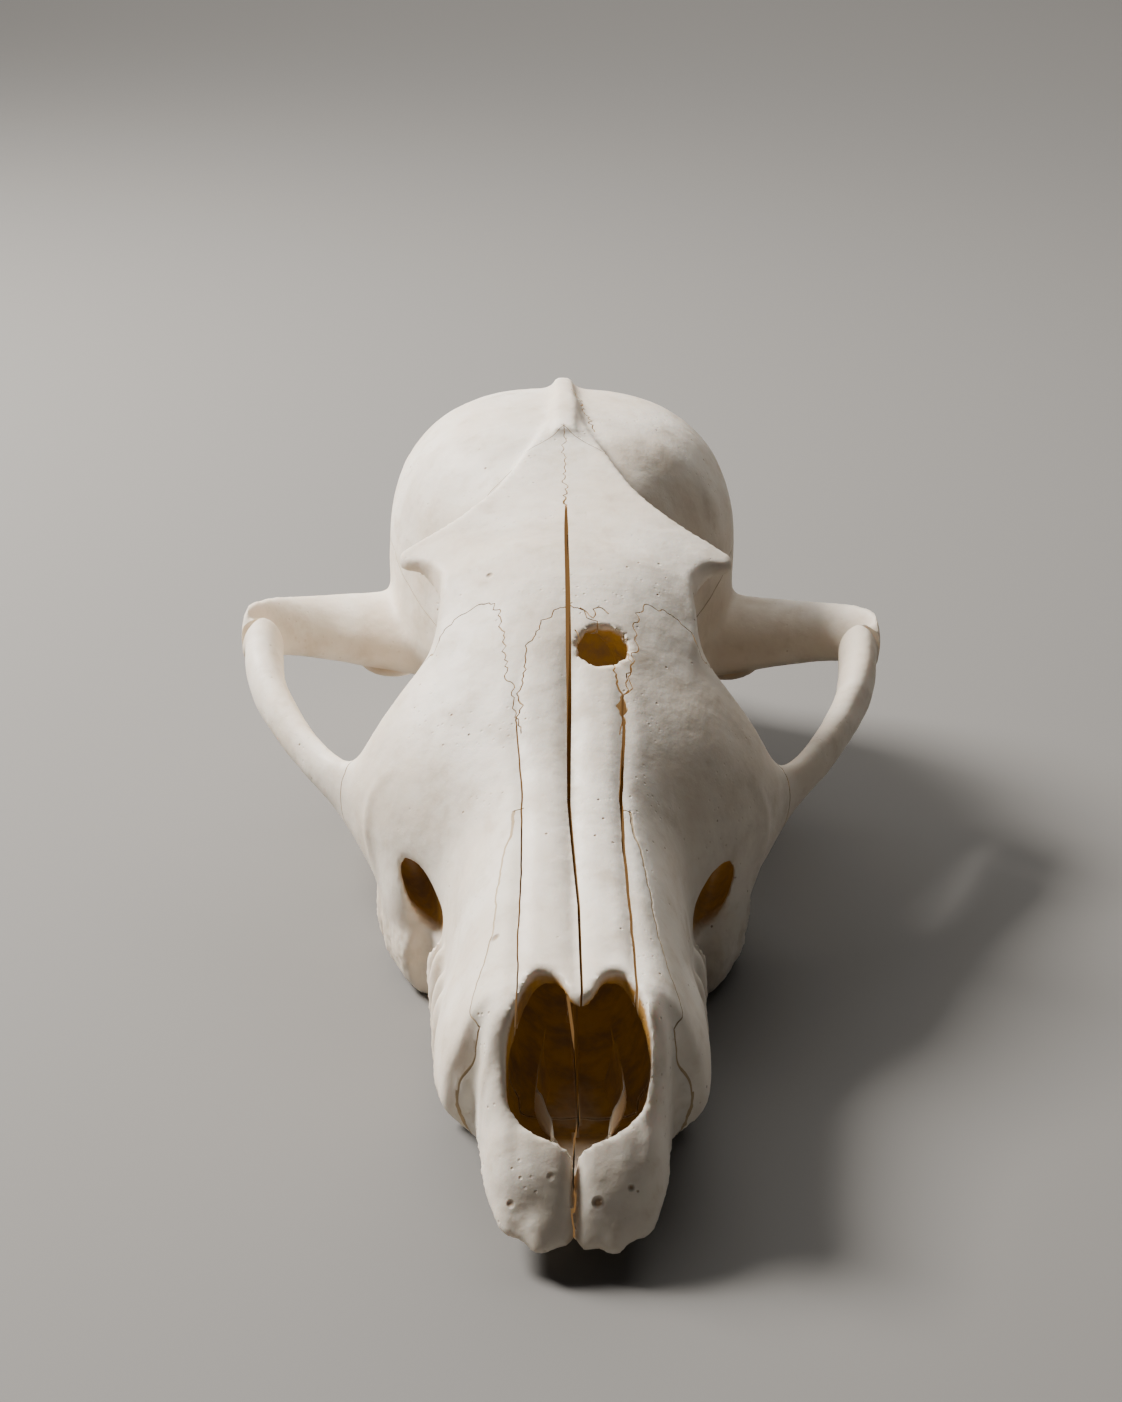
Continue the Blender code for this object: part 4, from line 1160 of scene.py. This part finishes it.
@dataclass
class Cranium:
    """The bones, cut out of the whole skull and named by the place that lies inside each."""

    form: SkullForm
    sutures: Sutures
    fineness: Fineness = Fineness.FULL
    hollow_reach: float = 1.4
    crease: float = 42.0
    box: tuple[tuple[float, float], ...] = ((-44, 44), (-3 - MID, 152 - MID), (-3, 57))
    paired: tuple[tuple[str, Place], ...] = (
        ("premaxilla", (5.5, 6, 5.5)), ("nasal", (2.6, 40, 27.1)), ("maxilla", (9.5, 30, 9)),
        ("frontal", (6, 80, 33)), ("jugal", (33.5, 82, 21.2)), ("temporal", (19, 112, 20)),
        ("ear_capsule", (11.2, 117, 3)))
    single: tuple[tuple[str, Place], ...] = (("parietal", (0, 118, 44)), ("cranial_base", (0, 110, 14)),
        ("occipital", (0, 139.5, 34)))

    @functools.cached_property
    def field(self) -> bpy.types.NodeTree:
        """The skull and the walls deep in it.

        Returns:
            A group that tells both distances at a place.
        """
        bench = Bench.group("skull_field", (("Place", "Vector"),), (("Skull", "Float"), ("Deep", "Float")))
        carver = Carver(bench, bench.taken()[0])
        bench.node("NodeGroupOutput", None, self.form.skull(carver))
        return bench.tree

    def surface_tree(self) -> bpy.types.NodeTree:
        """Draw the surface through the field, then wear it.

        Returns:
            The geometry tree.
        """
        bench = Bench.group("skull_surface", (("Geometry", "Geometry"),), (("Geometry", "Geometry"),))
        place = bench.wire("GeometryNodeInputPosition")
        cube = bench.node("GeometryNodeVolumeCube", None, (-bench.call(self.field, (place,)), -1.0))
        cube.inputs["Min"].default_value = [start * MM for start, _ in self.box]
        cube.inputs["Max"].default_value = [end * MM for _, end in self.box]
        for axis, (start, end) in zip("XYZ", self.box):
            cube.inputs["Resolution " + axis].default_value = round((end - start) / self.fineness.value)
        volume = Wire(bench, cube.outputs[0])
        surface = bench.wire("GeometryNodeVolumeToMesh", None, {"Volume": volume, "Threshold": 0.0})
        worn = self.form.weathering(Carver(bench, place)) * MM
        normal = bench.wire("GeometryNodeInputNormal")
        offset = bench.vector("SCALE", {0: normal, "Scale": worn})
        moved = bench.wire("GeometryNodeSetPosition", None, {"Geometry": surface, "Offset": offset})
        bench.node("NodeGroupOutput", None, (moved,))
        return bench.tree

    def stain_tree(self) -> bpy.types.NodeTree:
        """Mark how deep in a hollow each point lies, for painted shade in hollows, and whether it lies inside
        the nose, for amber and a painted glow; a patch under each cheek arch is marked as if inside, as
        painted shade with a faint painted glow.

        Returns:
            The geometry tree.
        """
        bench = Bench.group("skull_stain", (("Geometry", "Geometry"),), (("Geometry", "Geometry"),))
        geometry = bench.taken()[0]
        place = bench.wire("GeometryNodeInputPosition")
        normal = bench.wire("GeometryNodeInputNormal")
        # painted shade: the field read a little way out along the normal tells how shut in a point is; the
        # finish darkens near walls
        lifted = bench.vector("SCALE", {0: normal, "Scale": self.hollow_reach * MM})
        outside = bench.call(self.field, (bench.vector("ADD", (place, lifted)),))
        hollow = 1.0 - bench.maths("DIVIDE", outside, self.hollow_reach, clamp=True)
        here = Carver(bench, place)
        inner = bench.span(bench.call(self.field, (place,), 1), 0.4, -0.15)
        inner = inner * bench.span(here.along + here.up * 0.35, 9.5, 13.0)
        # painted shade: an amber patch on the braincase wall under each cheek arch, where the arch shades it;
        # it also gets a faint painted glow
        under = here.length((abs(here.across) - 23) / 5, (here.along - 110) / 9, (here.up - 16) / 6)
        inner = bench.maths("MAXIMUM", inner, bench.span(under, 1.0, 0.4) * 0.6)
        for word, value in (("hollow", hollow), ("inner", inner)):
            values = {"Geometry": geometry, "Name": word, "Value": value}
            settings = {"data_type": "FLOAT", "domain": "POINT"}
            geometry = bench.wire("GeometryNodeStoreNamedAttribute", settings, values)
        bench.node("NodeGroupOutput", None, (geometry,))
        return bench.tree

    @staticmethod
    def baked(thing: bpy.types.Object) -> bpy.types.Mesh:
        """Apply an object's modifiers.

        Args:
            thing: The object.

        Returns:
            Its finished mesh.
        """
        graph = bpy.context.evaluated_depsgraph_get()
        graph.update()
        return bpy.data.meshes.new_from_object(thing.evaluated_get(graph))

    def whole(self) -> bpy.types.Object:
        """The skull in one piece.

        Returns:
            The object.
        """
        thing = placed("whole_skull", bpy.data.meshes.new("whole_skull"))
        for tree in (self.surface_tree(), self.stain_tree()):
            thing.modifiers.new(tree.name, "NODES").node_group = tree
            thing.data = self.baked(thing)
            thing.modifiers.clear()
            LOG.info("%s: %d faces", tree.name, len(thing.data.polygons))
        return thing

    def parted(self) -> list[bpy.types.Object]:
        """Cut the skull along its sutures and take the pieces apart.

        Returns:
            The loose pieces, largest first.
        """
        thing = self.whole()
        ribbons = self.sutures.ribbons(self.form.dorsal)
        together = bpy.data.collections.new("ribbons")
        for ribbon in ribbons:
            together.objects.link(ribbon)
        cut = thing.modifiers.new("Sutures", "BOOLEAN")
        cut.operation = "DIFFERENCE"
        cut.solver = "MANIFOLD"
        cut.operand_type = "COLLECTION"
        cut.collection = together
        thing.data = self.baked(thing)
        thing.modifiers.clear()
        for ribbon in ribbons:
            bpy.data.objects.remove(ribbon)
        LOG.info("parted: %d faces", len(thing.data.polygons))
        for other in bpy.context.selected_objects:
            other.select_set(False)
        thing.select_set(True)
        bpy.context.view_layer.objects.active = thing
        before = set(bpy.data.objects)
        bpy.ops.mesh.separate(type="LOOSE")
        pieces = [thing, *(new for new in bpy.data.objects if new not in before)]
        return sorted(pieces, key=lambda piece: len(piece.data.polygons), reverse=True)

    @staticmethod
    def holds(piece: bpy.types.Object, place: Vector) -> bool:
        """Tell whether a closed surface has a place inside it, by how often a ray upward crosses it.

        Args:
            piece: The surface.
            place: The place.

        Returns:
            True where the ray crosses an odd number of times.
        """
        up = Vector((0.13, 0.11, 1.0)).normalized()
        crossings = 0
        hit, spot, *_ = piece.ray_cast(place, up)
        while hit:
            crossings += 1
            hit, spot, *_ = piece.ray_cast(spot + up * 1e-6, up)
        return crossings % 2 == 1

    def anchors(self) -> dict[str, Vector]:
        """List a place inside each bone.

        Returns:
            The places by the bone's name.
        """
        places = {name: self.sutures.seat(place) for name, place in self.single}
        for name, (x, y, z) in self.paired:
            for side in Side:
                places[f"{name}_{side.word}"] = self.sutures.seat((side.value * x, y, z))
        return places

    def build(self, finishes: dict[str, bpy.types.Material]) -> None:
        """Make and dress every bone.

        Args:
            finishes: Material of each kind of bone, "bone" being the usual one.
        """
        places = self.anchors()
        bpy.context.view_layer.update()
        for piece in self.parted():
            inside = [name for name, place in places.items() if self.holds(piece, place)]
            if len(inside) > 1:
                LOG.warning("%s are one piece", inside)
            if not inside:
                bpy.data.objects.remove(piece)
                continue
            name = inside[0]
            del places[name]
            piece.name = "fox_" + name
            kind = name.removesuffix("_left").removesuffix("_right")
            piece.data.materials.clear()
            piece.data.materials.append(finishes.get(kind, finishes["bone"]))
            piece.data.shade_smooth()
            piece.data.set_sharp_from_angle(angle=math.radians(self.crease))
            enrol(piece, name)
        if places:
            LOG.warning("no piece for %s", sorted(places))


@dataclass
class NasalPlates:
    """Septum and curled plates inside the nose, as thin bent sheets."""

    thickness: float = 0.55
    floor: float = 7.8
    sunk: float = 0.7
    pale_end: float = 12.0
    septum_top: Stations = ((16, 9.5), (26, 17), (40, 22), (60, 28))
    curl_foot: Stations = ((5, 10.3), (9, 9.3), (14, 8.7), (20, 8.8))
    curl_top: Stations = ((7.6, 10.2), (10, 11.6), (14, 13.6), (20, 14.6))
    septum_path: Stations = ((0.4, 16), (0.4, 56))
    curl_path: Stations = ((1.9, 7.6), (2.1, 9), (3.5, 12), (3.3, 14.5), (2.5, 20))
    middle: float = 0.4
    bulge: float = 0.8
    squares: tuple[int, int] = (40, 10)

    def plate(self, name: str, path: Path, foot: Stations, top: Stations, bulge: float,
            finish: bpy.types.Material) -> None:
        """A thin plate that stands on a path seen from above and bulges to one side.

        Args:
            name: Its name in the frame.
            path: Its foot, across and behind the tip.
            foot: Height of its foot at a distance behind the tip.
            top: Height of its upper edge.
            bulge: How far it bulges.
            finish: Its material.
        """
        bm = bmesh.new()
        bmesh.ops.create_grid(bm, x_segments=self.squares[0], y_segments=self.squares[1], size=0.5)
        inner = bm.verts.layers.float.new("inner")
        for vert in bm.verts:
            along, up = vert.co.x + 0.5, vert.co.y + 0.5
            x, y = self.spot(path, along)
            start = Sutures.level(foot, y)
            ragged = noise.noise(Vector((along * 9.0, 4.0, bulge))) * 0.6 * up * min(1.0, along * 3.0)
            z = start + (Sutures.level(top, y) - start + ragged) * up
            x += bulge * math.sin(0.75 * math.pi * up) + noise.noise(Vector((along * 5, up * 2, 1.0))) * 0.15
            vert.co = Sutures.seat((x, y, z))
            # inner marks the plates behind pale_end for amber and its painted glow
            vert[inner] = max(0.0, min(1.0, (y - self.pale_end) / 3.0))
        bmesh.ops.solidify(bm, geom=bm.faces, thickness=self.thickness * MM)
        every_way = {"use_axis_x": True, "use_axis_y": True, "use_axis_z": True}
        bmesh.ops.smooth_vert(bm, verts=bm.verts, factor=0.3, **every_way)
        bmesh.ops.recalc_face_normals(bm, faces=bm.faces)
        mesh = mesh_of(bm, "fox_" + name)
        mesh.shade_smooth()
        mesh.materials.append(finish)
        enrol(placed("fox_" + name, mesh), name)

    @staticmethod
    def spot(path: Path, share: float) -> tuple[float, float]:
        """Find the place at a share of a path's length.

        Args:
            path: The path.
            share: The share, 0 to 1.

        Returns:
            The place.
        """
        runs = [math.dist(a, b) for a, b in zip(path, path[1:])]
        left = share * sum(runs)
        for (a, b), run in zip(zip(path, path[1:]), runs):
            if left <= run + 1e-9:
                return tuple(p + (q - p) * left / run for p, q in zip(a, b))
            left -= run
        return tuple(path[-1])

    def build(self, finish: bpy.types.Material) -> None:
        """Make the septum and the two curled plates.

        Args:
            finish: Their material.
        """
        floor = self.floor - self.sunk
        ends = tuple((y, floor) for _, y in self.septum_path)
        self.plate("nasal_septum", self.septum_path, ends, self.septum_top, 0.0, finish)
        foot = tuple((y, z - self.sunk) for y, z in self.curl_foot)
        for side in Side:
            path = tuple((side.value * x + self.middle, y) for x, y in self.curl_path)
            self.plate("turbinate_" + side.word, path, foot, self.curl_top, side.value * self.bulge, finish)


@dataclass
class Studio:
    """Pale floor, soft lights and the camera at the photograph's angle."""

    azimuth: float = -0.026759
    elevation: float = 0.383972
    roll: float = 0.020185
    distance: float = 259.91
    focal: float = 2280.2
    aim: Place = (-0.5706, -3.5, 27.7277)
    image_tall: float = 1402.0
    sensor: float = 36.0
    half_floor: float = 3.0
    white: Colour = (1.0, 0.965, 0.92)
    surround: Colour = (1.0, 0.97, 0.93)
    surround_power: float = 0.05
    lamps: tuple[tuple[str, Place, Place, float, float], ...] = (("key", (-0.42, 0.25, 0.45), (0, 0, 0.03),
        0.2, 13.5), ("far_floor", (0, 1.4, 1.1), (0, 1.4, 0), 1.8, 30.0))

    def build(self) -> None:
        """Make floor, lights and camera."""
        self.floor()
        self.lights()
        self.camera()

    def floor(self) -> None:
        """A wide plain floor."""
        bm = bmesh.new()
        bmesh.ops.create_grid(bm, x_segments=1, y_segments=1, size=self.half_floor)
        mesh = mesh_of(bm, "floor")
        mesh.materials.append(PaleFloor().material())
        placed("floor", mesh)

    def lights(self) -> None:
        """A small key lamp behind on the upper left, a wide one over the far floor and a faint surround."""
        world = bpy.data.worlds.new("surround")
        bpy.context.scene.world = world
        world.use_nodes = True
        tint, power = world.node_tree.nodes["Background"].inputs[:2]
        tint.default_value = (*self.surround, 1.0)
        power.default_value = self.surround_power
        for name, spot, aim, size, power in self.lamps:
            lamp = bpy.data.lights.new(name, "AREA")
            lamp.size, lamp.energy, lamp.color = size, power, self.white
            thing = placed(name, lamp)
            thing.location = spot
            thing.rotation_euler = (Vector(spot) - Vector(aim)).to_track_quat("Z", "Y").to_euler()

    def camera(self) -> None:
        """The camera of the photograph."""
        tilt = math.cos(self.elevation)
        back = Vector((math.sin(self.azimuth) * tilt, -math.cos(self.azimuth) * tilt,
            math.sin(self.elevation)))
        right = (-back).cross(Vector((0, 0, 1))).normalized()
        up = back.cross(right)
        cos, sin = math.cos(self.roll), math.sin(self.roll)
        turned = Matrix((cos * right + sin * up, cos * up - sin * right, back)).transposed()
        lens = bpy.data.cameras.new("camera")
        lens.sensor_width = self.sensor
        lens.lens = self.focal / self.image_tall * self.sensor
        lens.clip_start = 0.005
        thing = placed("camera", lens)
        spot = (Vector(self.aim) + back * self.distance) * MM
        thing.matrix_world = Matrix.Translation(spot) @ turned.to_4x4()
        bpy.context.scene.camera = thing


def main() -> None:
    """Build the bones, the plates in the nose and the studio."""
    logging.basicConfig(level=logging.INFO, format="%(relativeCreated)d %(name)s %(message)s")
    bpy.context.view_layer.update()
    finishes = {"bone": DryBone("dry_bone").material(), "nasal": DryBone("smooth_bone", gloss=0.48,
        pores=0.15).material(), "premaxilla": DryBone("porous_bone", ivory=(0.70, 0.61, 0.49),
        pores=1.0).material()}
    fineness = Fineness.FULL
    Cranium(SkullForm(), Sutures(), fineness).build(finishes)
    NasalPlates().build(finishes["bone"])
    Studio().build()
    LOG.info("size noted")


if __name__ == "__main__":
    main()
